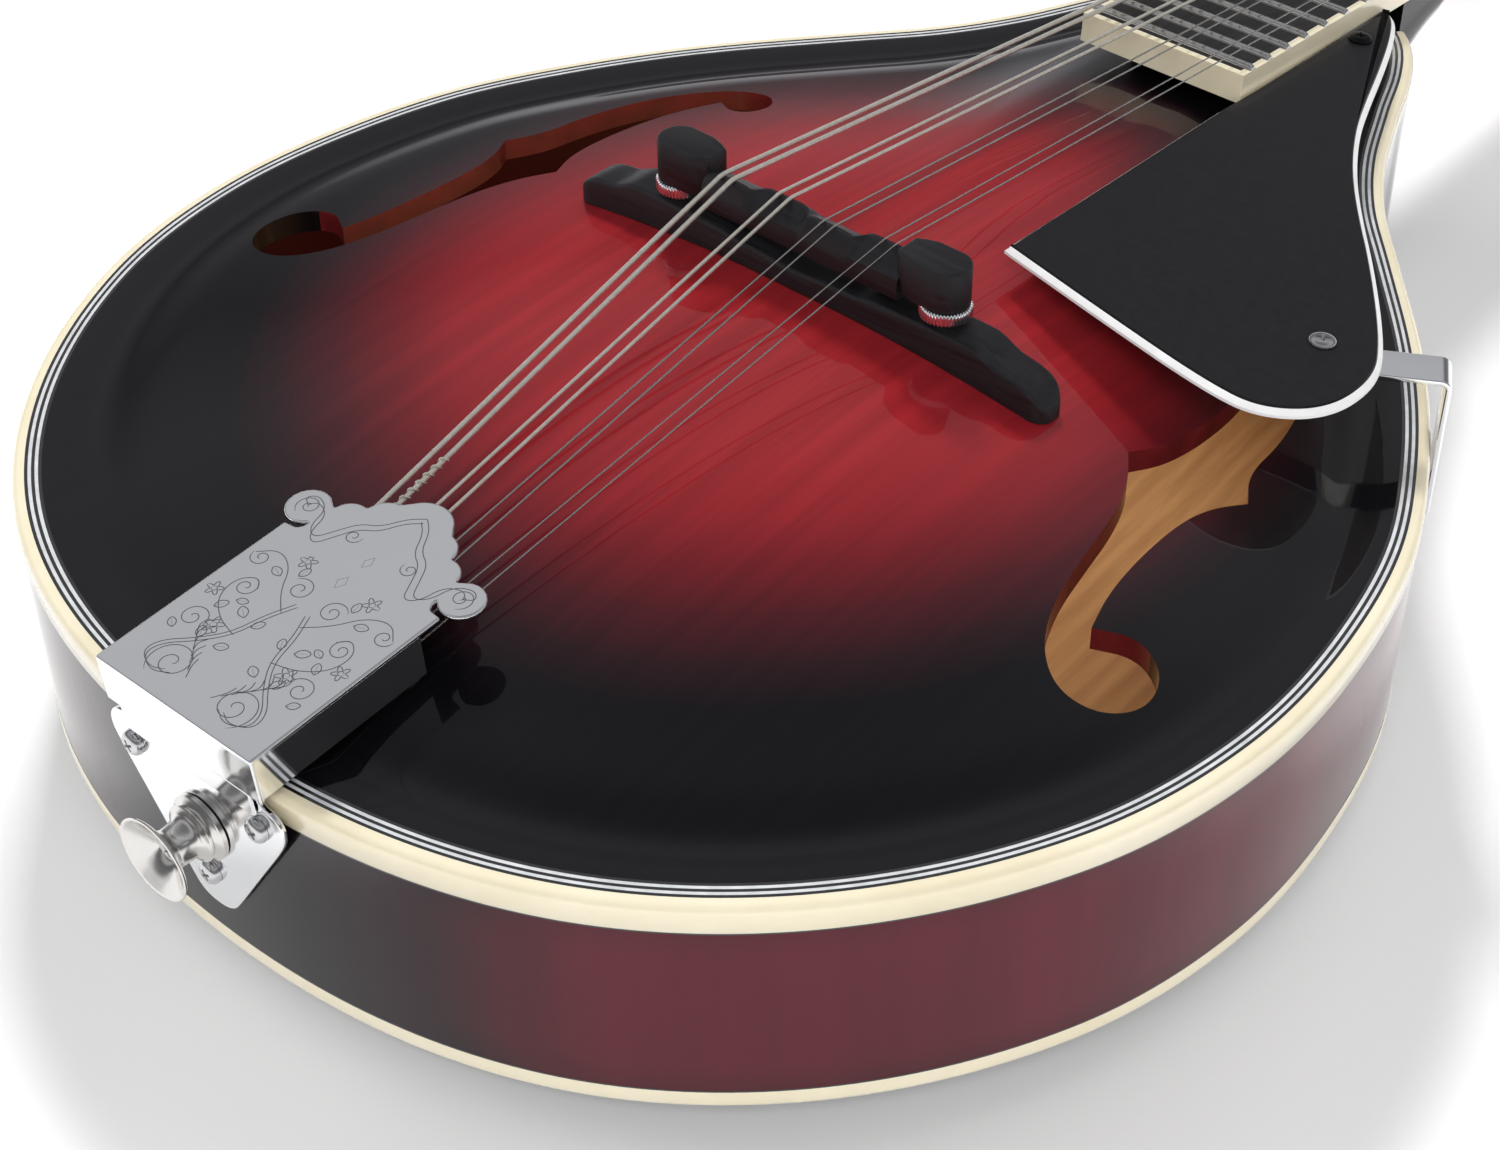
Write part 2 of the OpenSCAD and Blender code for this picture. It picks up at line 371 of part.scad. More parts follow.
// crest offset of each course along y, for intonation
function comp(i) = [-2.0, -2.0, 0.3, 0.3, -1.6, -1.6, 1.2, 1.2][i];
module bridge_saddle() place() color(EBONY) difference() {
    union() {
        // lower beam with round ends
        for (s = [-1, 1]) translate([s * post_gap / 2, bridge_y, saddle_z]) cylinder(h = 8.6, r = 4.7, $fn = 28);
        translate([-post_gap / 2, bridge_y - 4.2, saddle_z]) cube([post_gap, 8.4, 3.4]);
        // the middle reaches lower, between the wheels
        translate([-22, bridge_y - 3.4, saddle_z - 2.0]) cube([44, 6.8, 3.2]);
        // stepped crest, one block for a course
        for (c = [0:3]) {
            x = course_x(2*c, bridge_spread, course_gap) + course_gap/2; y = bridge_y + comp(2*c);
            w = (bridge_spread - course_gap) / 3;
            translate([x - w/2 - (c == 0 ? 2 : 0), 0, 0]) rotate([90, 0, 90]) linear_extrude(w + (c == 0 || c == 3 ? 2 : 0))
                polygon([[bridge_y - 4.2, saddle_z + 1], [bridge_y + 4.2, saddle_z + 1], [bridge_y + 4.0, saddle_z + 3.6], [y + 0.7, crest_z - 0.3], [y - 0.7, crest_z - 0.3], [bridge_y - 4.0, saddle_z + 3.6]]);
        }
    }
    for (s = [-1, 1]) translate([s * post_gap / 2, bridge_y, saddle_z - 1]) cylinder(h = 9.6, r = 2.2, $fn = 24);
    for (i = [0:7]) translate([course_x(i, bridge_spread, course_gap), bridge_y - 8, crest_z]) rotate([-90, 0, 0]) cylinder(h = 16, r = string_r(i) + 0.1, $fn = 10);
}

// ---------------------------------------------------------------- tailpiece
tp_tilt = 4.5;
module in_tail() { place() translate([0, 0, zt + 0.5]) rotate([tp_tilt, 0, 0]) children(); }
plate_w = 30;
shield_z = zt - 34;
module tailpiece_base() color(CHROME) {
    in_tail() difference() {
        translate([-plate_w/2, -1.0, 0]) cube([plate_w, 34, 1]);
    }
    // lugs that hold the string loops
    in_tail() for (i = [0:7]) translate([course_x(i, 26, 3) - 0.6, 27, 0.9]) rotate([90, 0, 90]) linear_extrude(1.2)
        polygon([[0, 0], [1.2, 0], [1.2, 4], [-2.2, 4], [-2.2, 3.1], [0, 3.1]]);
    // bend and shield on the tail
    place() translate([0, -0.45, 0]) rotate([90, 0, 0]) linear_extrude(1) difference() {
        polygon([for (m = [-1, 1]) for (p = m < 0 ? SH : [for (i = [len(SH) - 1:-1:0]) SH[i]]) [m * p.x, zt + p.y]]);
        for (p = TS) translate(p) circle(1.35, $fn = 16);
        translate([0, strap_z()]) circle(2.4, $fn = 20);
    }
}
// half outline of the tail plate, from the tip up
SH = [[1.6, -34], [4, -33], [5.6, -31], [13, -19.4], [20.2, -8.4], [21.1, -5.6], [20.6, -3.2], [18.8, -1.8], [16.6, -1.4], [15.5, -0.4], [15.5, 1.3]];
TS = [[-15, zt - 6.8], [15, zt - 6.8], [0, zt - 26.3]];
function strap_z() = zt - 16;
ear_r = 4.2;
module cover2d() {
    h = cover_w / 2; L = cover_len;
    translate([-h, 0]) square([2 * h, L + 3]);
    for (s = [-1, 1]) {
        translate([s * (h - 0.2), L + 4.2]) circle(ear_r, $fn = 24);
        translate([s * 10.6, L + 4.6]) circle(5.6, $fn = 28);
        translate([s * 5.6, L + 9.4]) circle(4.6, $fn = 24);
        translate([s * (h - 5), L - 1]) square([5 + 1.4, 3.6], center = true);
    }
    translate([0, L + 12]) circle(6.2, $fn = 32);
}
module tailpiece_cover() color(CHROME) in_tail() translate([0, -2.6, 1.15]) {
    ch = cover_h - 1;
    translate([0, 0, ch - 1]) linear_extrude(1) cover2d();
    for (s = [-1, 1]) translate([s > 0 ? cover_w/2 - 0.9 : -cover_w/2, 0, 0.4]) cube([0.9, cover_len - 5, ch - 1]);
    translate([-cover_w/2, 0, -0.8]) cube([cover_w, 0.9, ch]);
    // rear lip that clips under the bend
    translate([-cover_w/2 + 3, 0, -5]) cube([cover_w - 6, 0.7, 5]);
}
module tailpiece_screws() place() color(STEEL) for (p = TS) translate([p.x, -1.5, p.y]) rotate([90, 0, 0]) screw(1.2, 12, 2.3, 1.6);
module strap_button() place() color(CHROME) translate([0, -1.5, strap_z()]) rotate([90, 0, 0]) rotate_extrude()
    polygon([[2.1, 0.05], [6.2, 0.05], [6.2, 1.2], [5.0, 1.9], [5.3, 2.6], [4.2, 3.4], [3.6, 4.2], [3.6, 7.2], [4.4, 8.0], [7.4, 8.9], [7.9, 9.1], [7.9, 10.3], [7.7, 10.4], [7.3, 10.3], [4.0, 8.3], [2.9, 7.0], [2.9, 6.2], [2.1, 6.2]]);
module strap_button_screw() place() color(STEEL) translate([0, -1.5 - 6.25, strap_z()]) rotate([90, 0, 0]) screw(1.9, 26, 2.8, 1.4);

// ---------------------------------------------------------------- pickguard
pg_z = 0.6;
PG = [[24.7, -157.5], [24.7, -157.5], [51.6, -164.4], [78, -170.6], [90, -171], [99, -162], [99.5, -147], [93.8, -135], [78.5, -112.8], [64.4, -94.4],
    [55.1, -80.8], [47, -66], [42, -54], [35.4, -36.8], [29.5, -22.6], [24, -12], [19.6, -9], [19.6, -9], [20.6, -72], [20.6, -72]];
function smooth(p, k) = k == 0 ? p : smooth([for (i = [0:len(p) - 1]) let(q = p[(i + 1) % len(p)]) for (t = [0.25, 0.75]) p[i] * (1 - t) + q * t], k - 1);
module pg2d() intersection() { polygon(smooth(PG, 2)); polygon([[20.9, -72], [19.5, -8], [140, -8], [140, -200], [20.9, -200]]); }
module pickguard() in_neck() resize([0, 0, 0]) translate([0, 0, pg_z]) {
    color(WHITE) linear_extrude(0.9) difference() { pg2d(); pg_holes(); }
    color(BLACK) translate([0, 0, 0.9]) linear_extrude(1) difference() { offset(delta = -1.1) pg2d(); pg_holes(); }
}
module pg_holes() for (p = PS) translate(p) circle(1.2, $fn = 16);
module pickguard_screws() color(STEEL) in_neck() for (p = PS) translate([p.x, p.y, pg_z + 1.95]) screw(1.05, p.x > 40 ? 4.6 : 4, 2.6, 1.1);
// bracket square to the rim, from the guard's screw out and down the rib
br_a = 118; br_in = 22;
br_e = edge(br_a, -1.4); br_n = unit(edge(br_a, 10) - edge(br_a, 0)); br_p = edge(br_a, br_in);
br_z = board_rise + (joint_y - br_p.y) * tan(neck_tilt) + pg_z - 0.85;
function to_neck(x, y, z) = let(c = cos(neck_tilt), t = sin(neck_tilt)) [x, (y - joint_y) * c - (z - board_rise) * t];
PS = [to_neck(br_p.x, br_p.y, br_z), [24.2, -28.4]];
module pickguard_bracket() color(CHROME) {
    place() translate([br_e.x, br_e.y, zt]) rotate([0, 0, atan2(br_n.y, br_n.x)]) {
        difference() { translate([-0.4, -4, br_z - 1.1]) cube([br_in + 6, 8, 1.1]); translate([br_in + 1.4, 0, br_z - 3]) cylinder(h = 5, r = 1.15, $fn = 16); }
        translate([-0.4, -4, -15]) cube([1.1, 8, 15 + br_z - 0.5]);
    }
    in_neck() translate([19.9, -32.4, pg_z - 3]) difference() { cube([8, 8, 2.9]); translate([4.3, 4, -1]) cylinder(h = 6, r = 1.15, $fn = 16); }
}

// ---------------------------------------------------------------- strings
function string_r(i) = [0.5, 0.5, 0.36, 0.36, 0.2, 0.2, 0.16, 0.16][i];
function post_of(i) = [[-1, 0], [-1, 1], [-1, 2], [-1, 3], [1, 3], [1, 2], [1, 1], [1, 0]][i];
function tail_pt(p) = let(c = cos(tp_tilt), s = sin(tp_tilt)) [p.x, p.y*c - p.z*s, zt + 0.5 + p.y*s + p.z*c];
wind_r = 3.2;
function coil(i) = let(q = post_of(i), R = wind_r + string_r(i) + 0.1, cx = q[0] * post_x, cyy = post_y[q[1]], n = 10, turns = 2.6, z0 = 6.6)
    [for (k = [0:floor(turns * n)]) let(a = (q[0] < 0 ? 0 : 180) + (q[0] < 0 ? 1 : -1) * 360 * k / n) from_head([cx + R * cos(a), cyy + R * sin(a), z0 - (2.1 * string_r(i) + 0.12) * k / n])];
module one_string(i) {
    r = string_r(i);
    xt = course_x(i, 26, 3); xb = course_x(i, bridge_spread, course_gap); xn = course_x(i, nut_spread, nut_gap);
    tube(concat([tail_pt([xt, 24.5, 2.2]), tail_pt([xt + 1.3, 25.5, 2.2]), tail_pt([xt + 1.3, 28.0, 2.2]), tail_pt([xt, 31, 2.2])],
        [[xb, bridge_y + comp(i) - 0.8, crest_z], [xb, bridge_y + comp(i) + 0.8, crest_z], from_neck([xn, nut_ly + 0.2, board_t + 1.65]), from_neck([xn, nut_ly + nut_w + 0.2, board_t + 1.62])],
        coil(i)), r, i < 4 ? 6 : 5);
}
module strings_wound() place() color(BRONZE) for (i = [0:3]) one_string(i);
module strings_plain() place() color(STEEL) for (i = [4:7]) one_string(i);

// ---------------------------------------------------------------- tuners
plate_z = -head_t - 1.2; gear_t = 3.0; gear_z = plate_z - 1.5 - gear_t / 2;
gear_ro = 6.2; gear_ri = 4.9;
worm_ro = 2.75; worm_ri = 1.75; pitch = 2 * PI * 5.55 / gear_teeth;
module tuner_bushings() color(CHROME) in_head() for (s = [-1, 1]) for (y = post_y) translate([s * post_x, y, 0]) difference() {
    union() { translate([0, 0, -9]) cylinder(h = 10.6, r = 4.0); translate([0, 0, 1.65]) cylinder(h = 1.2, r1 = 5.2, r2 = 4.6); }
    translate([0, 0, -10]) cylinder(h = 20, r = 3.15);
}
module tuner_plate(s) color(CHROME) in_head() difference() {
    union() {
        translate([s > 0 ? post_x - 8.5 : -post_x - 8.5, post_y[0] - 21, plate_z]) cube([17, 3 * post_pitch + 38, 1.15]);
        for (y = post_y) for (x = [-7.2, 5.8]) translate([s * (post_x + 0.7) + x - 0.0, y - worm_off - 2.6, gear_z - 2.4]) cube([1.4, 5.2, plate_z - gear_z + 2.5]);
    }
    for (y = post_y) translate([s * post_x, y, plate_z - 1]) cylinder(h = 4, r = 3.15, $fn = 24);
    for (y = post_y) translate([-60, y - worm_off, gear_z]) rotate([0, 90, 0]) cylinder(h = 120, r = 1.45, $fn = 16);
    for (y = [post_y[0] - 17.5, post_y[1] - 3.2, post_y[2] - 3.2, post_y[3] + 12]) translate([s * (post_x - 5.8), y, plate_z - 1]) cylinder(h = 4, r = 1.05, $fn = 12);
}
module tuner_plate_bass() tuner_plate(-1);
module tuner_plate_treble() tuner_plate(1);
module gear_screws() color(STEEL) in_head() for (s = [-1, 1]) for (y = post_y) translate([s * post_x, y, gear_z - gear_t/2 - 0.05]) rotate([180, 0, 0]) difference() {
    union() { cylinder(h = 1, r1 = 2.2, r2 = 1.9, $fn = 20); translate([0, 0, -2.6]) cylinder(h = 2.6, r = 1, $fn = 16); }
    translate([-1.5, -0.25, 0.5]) cube([3, 0.5, 1]);
}
// gear and string post, turning about z
module post(s, k) color(STEEL) in_head() translate([s * post_x, post_y[k], 0]) difference() {
    union() {
        translate([0, 0, gear_z]) color(BRONZE) gear();
        translate([0, 0, gear_z + gear_t/2 - 0.1]) cylinder(h = -gear_z + 8.5 - gear_t/2, r = 3.0);
        translate([0, 0, 8.3]) cylinder(h = 0.7, r1 = 3.0, r2 = 2.2);
    }
    translate([0, 0, gear_z - gear_t/2 - 1]) cylinder(h = 4, r = 1.05, $fn = 16);
    translate([-4, 0, 7.5]) rotate([0, 90, 0]) cylinder(h = 8, r = 0.6, $fn = 10);
}
module gear() translate([0, 0, -gear_t/2]) linear_extrude(gear_t)
    polygon([for (i = [0:gear_teeth - 1]) let(a = 360 / gear_teeth) for (q = [[gear_ri, -0.36], [gear_ro, -0.15], [gear_ro, 0.15], [gear_ri, 0.36]]) q[0] * [cos(a * (i + q[1]) + phase), sin(a * (i + q[1]) + phase)]]);
phase = 270 + 180 / gear_teeth;
// worm on the button's shaft, axis along x
module worm(len) {
    na = 12; nz = 20; n = na;
    function pr(u) = let(f = u - floor(u)) f < 0.22 ? worm_ro : f < 0.40 ? worm_ro - (worm_ro - worm_ri) * (f - 0.22) / 0.18 : f < 0.82 ? worm_ri : worm_ri + (worm_ro - worm_ri) * (f - 0.82) / 0.18;
    polyhedron([for (i = [0:nz]) for (k = [0:na - 1]) let(z = -len/2 + len * i / nz, a = 360 * k / na, e = min(1, min(i, nz - i) / 2), r = worm_ri + (pr(z / pitch - a / 360 + 0.36) - worm_ri) * e) [r * cos(a), r * sin(a), z]],
        concat([for (i = [0:nz - 1]) for (k = [0:na - 1]) let(l = (k + 1) % na) each [[i*n + k, (i + 1)*n + k, (i + 1)*n + l], [i*n + k, (i + 1)*n + l, i*n + l]]],
            [[for (k = [0:na - 1]) k]], [[for (k = [na - 1:-1:0]) nz*n + k]]), convexity = 8);
}
module button(s, k) in_head() translate([s * post_x, post_y[k] - worm_off, gear_z]) {
    color(BRONZE) translate([0.0, 0, 0]) rotate([0, 90, 0]) worm(9.6);
    color(STEEL) for (d = [-1, 1]) translate([d > 0 ? 4.8 : -7.6, 0, 0]) rotate([0, 90, 0]) cylinder(h = 2.8, r = 1.3, $fn = 16);
    color(STEEL) translate([s > 0 ? 7.5 : -20.5, 0, 0]) rotate([0, 90, 0]) cylinder(h = 13, r = 1.3, $fn = 16);
    color(BONE) translate([s * 20.2, 0, 0]) rotate([0, s * 90, 0]) {
        cylinder(h = 2.2, r1 = 2.6, r2 = 3.2, $fn = 20);
        translate([0, 0, 2.1]) linear_extrude(0.1) circle(3, $fn = 20);
        translate([-3, 0, 8]) rotate([0, 90, 0]) scale([1, 1, 1]) cylinder(h = 6, r = 6.2, $fn = 28);
    }
}
module tuner_button_b1() button(-1, 0);
module tuner_button_b2() button(-1, 1);
module tuner_button_b3() button(-1, 2);
module tuner_button_b4() button(-1, 3);
module tuner_button_t1() button(1, 0);
module tuner_button_t2() button(1, 1);
module tuner_button_t3() button(1, 2);
module tuner_button_t4() button(1, 3);
module tuner_post_b1() post(-1, 0);
module tuner_post_b2() post(-1, 1);
module tuner_post_b3() post(-1, 2);
module tuner_post_b4() post(-1, 3);
module tuner_post_t1() post(1, 0);
module tuner_post_t2() post(1, 1);
module tuner_post_t3() post(1, 2);
module tuner_post_t4() post(1, 3);

soundboard();
back_plate();
rib_bass();
rib_treble();
top_binding();
purfling();
back_binding();
linings();
neck_block();
tail_block();
tone_bars();
neck();
headstock_veneer();
truss_rod();
truss_rod_nut();
truss_rod_cover();
headstock_screws();
fretboard();
fretboard_binding();
frets();
position_dots();
nut();
fretboard_support();
bridge_base();
bridge_posts();
thumbwheel_bass();
thumbwheel_treble();
bridge_saddle();
tailpiece_base();
tailpiece_cover();
tailpiece_screws();
strap_button();
strap_button_screw();
pickguard();
pickguard_bracket();
pickguard_screws();
strings_wound();
strings_plain();
tuner_bushings();
tuner_plate_bass();
tuner_plate_treble();
gear_screws();
tuner_button_b1();
tuner_button_b2();
tuner_button_b3();
tuner_button_b4();
tuner_button_t1();
tuner_button_t2();
tuner_button_t3();
tuner_button_t4();
tuner_post_b1();
tuner_post_b2();
tuner_post_b3();
tuner_post_b4();
tuner_post_t1();
tuner_post_t2();
tuner_post_t3();
tuner_post_t4();
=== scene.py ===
"""Mandolin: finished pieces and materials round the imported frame."""
import math
import random

import bmesh
import bpy
from mathutils import Matrix, Vector


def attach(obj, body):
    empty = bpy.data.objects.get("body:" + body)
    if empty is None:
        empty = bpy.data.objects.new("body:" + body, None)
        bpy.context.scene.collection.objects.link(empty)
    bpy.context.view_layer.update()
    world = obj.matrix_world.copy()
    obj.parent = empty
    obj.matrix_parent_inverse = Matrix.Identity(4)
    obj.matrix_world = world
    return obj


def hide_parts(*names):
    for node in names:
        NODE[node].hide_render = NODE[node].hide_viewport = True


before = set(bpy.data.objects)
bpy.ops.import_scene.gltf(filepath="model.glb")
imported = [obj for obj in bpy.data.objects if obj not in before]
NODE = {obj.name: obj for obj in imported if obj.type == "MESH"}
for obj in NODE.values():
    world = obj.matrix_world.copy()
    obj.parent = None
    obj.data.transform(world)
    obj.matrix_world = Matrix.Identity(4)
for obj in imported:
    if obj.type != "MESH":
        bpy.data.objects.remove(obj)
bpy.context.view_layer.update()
MM = 0.001

# ------------------------------------------------------------ dimensions, mm from the tail edge
BODY_W, JOINT_Y, RIM, TOP_ARCH, BACK_ARCH = 254, 331, 46, 14, 12
PLATE_T, BIND_H, BACK_BIND_H, BIND_W, LINE_W, RIB_T = 4.6, 5.5, 4, 2.2, 0.6, 2.2
SCALE, FRET_N, TILT, RISE, BOARD_T = 352.4, 19, math.radians(4.6), 3.7, 6.5
NUT_WIDTH, BOARD_END, NECK_D, HEAD_A, HEAD_LEN, HEAD_T = 29, 41, 15, math.radians(11), 128, 13
BRIDGE_Y, STRING_H, BRIDGE_LEN, POST_GAP = 147, 29.5, 114, 64
COVER_W, COVER_L, COVER_H, TAIL_TILT = 37, 40, 10.5, math.radians(4.5)
ZT, ZB, CY, WK = BACK_ARCH + RIM, BACK_ARCH, 142.7, BODY_W / 255
PLATE_IN, NUT_W = BIND_W + 5 * LINE_W, 4.5
NUT_Y = SCALE - (JOINT_Y - BRIDGE_Y)
BOARD_Y0 = NUT_Y - SCALE * (1 - 2 ** (-FRET_N / 12)) - 4
BZ = ZT + TOP_ARCH
WHEEL_Z, WHEEL_T, WHEEL_R = 6.7, 2.4, 4.9
SADDLE_Z, CREST_Z = BZ + WHEEL_Z + WHEEL_T + 0.1, ZT + STRING_H
HEEL_Z = ZB + BACK_BIND_H
STRAP_Z = ZT - 16
STRAP_L = 10.4
# the frame's origin is under the middle of the length
Y_MID = (-1.5 - STRAP_L + JOINT_Y + (NUT_Y + NUT_W) * math.cos(TILT) + HEAD_LEN * math.cos(TILT + HEAD_A)) / 2


def row(p):
    """Millimetres from the tail edge to metres in the row frame."""
    return Vector((p[0] * MM, (p[1] - Y_MID) * MM, p[2] * MM))


def neck_pt(x, y, z):
    c, s = math.cos(TILT), math.sin(TILT)
    return (x, JOINT_Y + y * c + z * s, ZT + RISE - y * s + z * c)


def head_pt(x, y, z):
    c, s = math.cos(HEAD_A), math.sin(HEAD_A)
    return neck_pt(x, NUT_Y + NUT_W + y * c + z * s, -y * s + z * c)


def tail_pt(x, y, z):
    c, s = math.cos(TAIL_TILT), math.sin(TAIL_TILT)
    return (x, y * c - z * s, ZT + 0.5 + y * s + z * c)


# ------------------------------------------------------------ outline and arches
PH = [-90, -60, -30, -15, 0, 12, 24, 36, 48, 57, 64, 70, 75, 78.5, 81, 83.5, 85.5, 90]
RR = [142.7, 143.7, 137.2, 131.9, 126, 122.7, 119.6, 119, 121, 125.3, 131.5, 142, 157, 171.3, 180.5, 187, 189.5, 189.3]


def rad(p):
    i = max(k for k in range(len(PH) - 1) if p >= PH[k] or k == 0)
    sl = [0 if k in (0, len(PH) - 1) else (RR[k + 1] - RR[k - 1]) / (PH[k + 1] - PH[k - 1]) for k in (i, i + 1)]
    h = PH[i + 1] - PH[i]
    t = (p - PH[i]) / h
    return ((2 * t**3 - 3 * t * t + 1) * RR[i] + (t**3 - 2 * t * t + t) * h * sl[0]
            + (3 * t * t - 2 * t**3) * RR[i + 1] + (t**3 - t * t) * h * sl[1])


def base(a):
    a = a - 360 if a > 180 else a + 360 if a < -180 else a
    p = -90 + abs(a)
    r = rad(p)
    return Vector(((-1 if a < 0 else 1) * r * math.cos(math.radians(p)) * WK, CY + r * math.sin(math.radians(p))))


def edge(a, d):
    t = base(a + 0.4) - base(a - 0.4)
    return base(a) + d * Vector((-t.y, t.x)) / t.length


def rp(a, q):
    e = edge(a, q[0])
    return (e.x * q[1], CY + (e.y - CY) * q[1], q[2])


def arch(s):
    u = min(1, s / 0.95)
    return TOP_ARCH * (1 - u * u) ** 1.5 - 0.9 * math.exp(-(((s - 0.93) / 0.045) ** 2)) + max(0, s - 0.94) * 1.4


def barch(s):
    u = min(1, max(0, (s - 0.2) / 0.74))
    return BACK_ARCH * (1 - u * u) ** 1.5 - 0.7 * math.exp(-(((s - 0.94) / 0.04) ** 2))


RIM_TABLE = sorted((math.degrees(math.atan2(e.y - CY, e.x)), (e - Vector((0, CY))).length)
                   for e in (edge(a * 0.5, PLATE_IN) for a in range(0, 361)))


def s_at(x, y):
    p = math.degrees(math.atan2(y - CY, abs(x)))
    n = len(RIM_TABLE)
    lo, hi = 0, n - 1
    while hi - lo > 1:
        k = (lo + hi) // 2
        lo, hi = (k, hi) if RIM_TABLE[k][0] <= p else (lo, k)
    a, b = RIM_TABLE[lo], RIM_TABLE[hi]
    t = (p - a[0]) / (b[0] - a[0])
    return math.hypot(x, y - CY) / (a[1] + (b[1] - a[1]) * t)


def top_z(x, y):
    return ZT + arch(min(1, s_at(x, y)))


def half_w(y):
    return NUT_WIDTH / 2 + (NUT_Y - y) / (NUT_Y - BOARD_Y0) * (BOARD_END - NUT_WIDTH) / 2


def fret_y(n):
    return NUT_Y - SCALE * (1 - 2 ** (-n / 12))


def smooth(pts, k, closed=True):
    """Corner cutting."""
    for _ in range(k):
        m = len(pts)
        out = []
        for i in range(m if closed else m - 1):
            p, q = pts[i], pts[(i + 1) % m]
            out += [tuple(a * (1 - t) + b * t for a, b in zip(p, q)) for t in (0.25, 0.75)]
        pts = out if closed else [pts[0]] + out + [pts[-1]]
    return pts


# ------------------------------------------------------------ materials
class Mat:
    """A node material round one Principled shader. Constant values go on the shader's own sockets."""

    def __init__(self, name, **values):
        self.m = bpy.data.materials.new(name)
        self.m.use_nodes = True
        self.t = self.m.node_tree
        self.t.nodes.clear()
        self.out = self.t.nodes.new("ShaderNodeOutputMaterial")
        self.b = self.t.nodes.new("ShaderNodeBsdfPrincipled")
        self.t.links.new(self.b.outputs[0], self.out.inputs[0])
        self.co = self.t.nodes.new("ShaderNodeTexCoord").outputs["Object"]
        for k, v in values.items():
            self.set(k.replace("_", " ").title().replace("Ior", "IOR"), v)

    def set(self, socket, v):
        if isinstance(v, bpy.types.NodeSocket):
            self.t.links.new(v, self.b.inputs[socket])
        else:
            k = self.b.inputs[socket]
            k.default_value = (*v, 1) if k.type == "RGBA" else v
        return self

    def node(self, kind, inputs=None, **props):
        n = self.t.nodes.new("ShaderNode" + kind)
        for k, v in props.items():
            setattr(n, k, v)
        for k, v in (inputs or {}).items():
            if isinstance(v, bpy.types.NodeSocket):
                self.t.links.new(v, n.inputs[k])
            else:
                n.inputs[k].default_value = v
        return n

    def math(self, op, a, b=0.0, c=0.0, clamp=False):
        n = self.t.nodes.new("ShaderNodeMath")
        n.operation, n.use_clamp = op, clamp
        for i, v in enumerate((a, b, c)):
            if isinstance(v, bpy.types.NodeSocket):
                self.t.links.new(v, n.inputs[i])
            else:
                n.inputs[i].default_value = v
        return n.outputs[0]

    def xyz(self, scale=(1, 1, 1), rotation=(0, 0, 0)):
        return self.node("Mapping", {"Vector": self.co, "Scale": scale, "Rotation": rotation}).outputs[0]

    def noise(self, scale, detail=3, rough=0.5, stretch=(1, 1, 1), rotation=(0, 0, 0)):
        v = self.xyz(stretch, rotation)
        return self.node("TexNoise", {"Vector": v, "Scale": scale, "Detail": detail, "Roughness": rough}).outputs[0]

    def ramp(self, fac, stops, mode="LINEAR"):
        n = self.node("ValToRGB", {"Fac": fac})
        n.color_ramp.interpolation = mode
        els = n.color_ramp.elements
        while len(els) < len(stops):
            els.new(0.5)
        for e, (p, c) in zip(els, stops):
            e.position = p
            e.color = (*c, 1) if len(c) == 3 else (c[0],) * 3 + (1,)
        return n.outputs[0]

    def mix(self, fac, a, b, mode="MIX"):
        n = self.t.nodes.new("ShaderNodeMix")
        n.data_type, n.blend_type = "RGBA", mode
        for sock, v in ((n.inputs[0], fac), (n.inputs[6], a), (n.inputs[7], b)):
            if isinstance(v, bpy.types.NodeSocket):
                self.t.links.new(v, sock)
            else:
                sock.default_value = (*v, 1) if isinstance(v, tuple) else v
        return n.outputs[2]

    def range(self, v, lo, hi, a=0.0, b=1.0):
        return self.node("MapRange", {0: v, 1: lo, 2: hi, 3: a, 4: b}).outputs[0]

    def bump(self, height, strength, dist, socket="Normal"):
        n = self.node("Bump", {"Height": height, "Strength": strength, "Distance": dist})
        self.t.links.new(n.outputs[0], self.b.inputs[socket])
        return self


def burst_distance(m, cx, cy, rx, ry):
    """Elliptical distance about a point of the face, mm from the tail edge."""
    sep = m.node("SeparateXYZ", {0: m.co})
    c = row((cx, cy, 0))
    dx = m.math("DIVIDE", m.math("SUBTRACT", sep.outputs[0], c.x), rx * MM)
    dy = m.math("DIVIDE", m.math("SUBTRACT", sep.outputs[1], c.y), ry * MM)
    return m.math("SQRT", m.math("ADD", m.math("MULTIPLY", dx, dx), m.math("MULTIPLY", dy, dy)))


INK = (0.0035, 0.003, 0.004)
LACQUER = dict(roughness=0.34, specular_ior_level=0.06, coat_weight=1.0, coat_roughness=0.025, coat_ior=1.33)


def lacquer_top():
    m = Mat("lacquer_top", **LACQUER)
    d = burst_distance(m, 0, 148, 100, 112)
    d = m.math("ADD", d, m.math("MULTIPLY", m.math("SUBTRACT", m.noise(9, 3), 0.5), 0.07))
    burst = m.ramp(d, [(0.0, (0.270, 0.015, 0.019)), (0.5, (0.250, 0.013, 0.018)), (0.62, (0.205, 0.010, 0.014)),
                       (0.72, (0.120, 0.007, 0.011)), (0.82, (0.052, 0.006, 0.009)), (0.92, (0.016, 0.005, 0.007)), (1.0, INK)], "LINEAR")
    grain = m.noise(420, 2, 0.6, (1, 0.018, 0.2))
    fine = m.range(grain, 0.35, 0.68, 0.86, 1.06)
    m.set("Base Color", m.mix(1.0, burst, m.node("CombineXYZ", {0: fine, 1: fine, 2: fine}).outputs[0], "MULTIPLY"))
    m.bump(m.noise(26, 2, 0.45), 0.05, 0.0012, "Coat Normal")
    return m.m


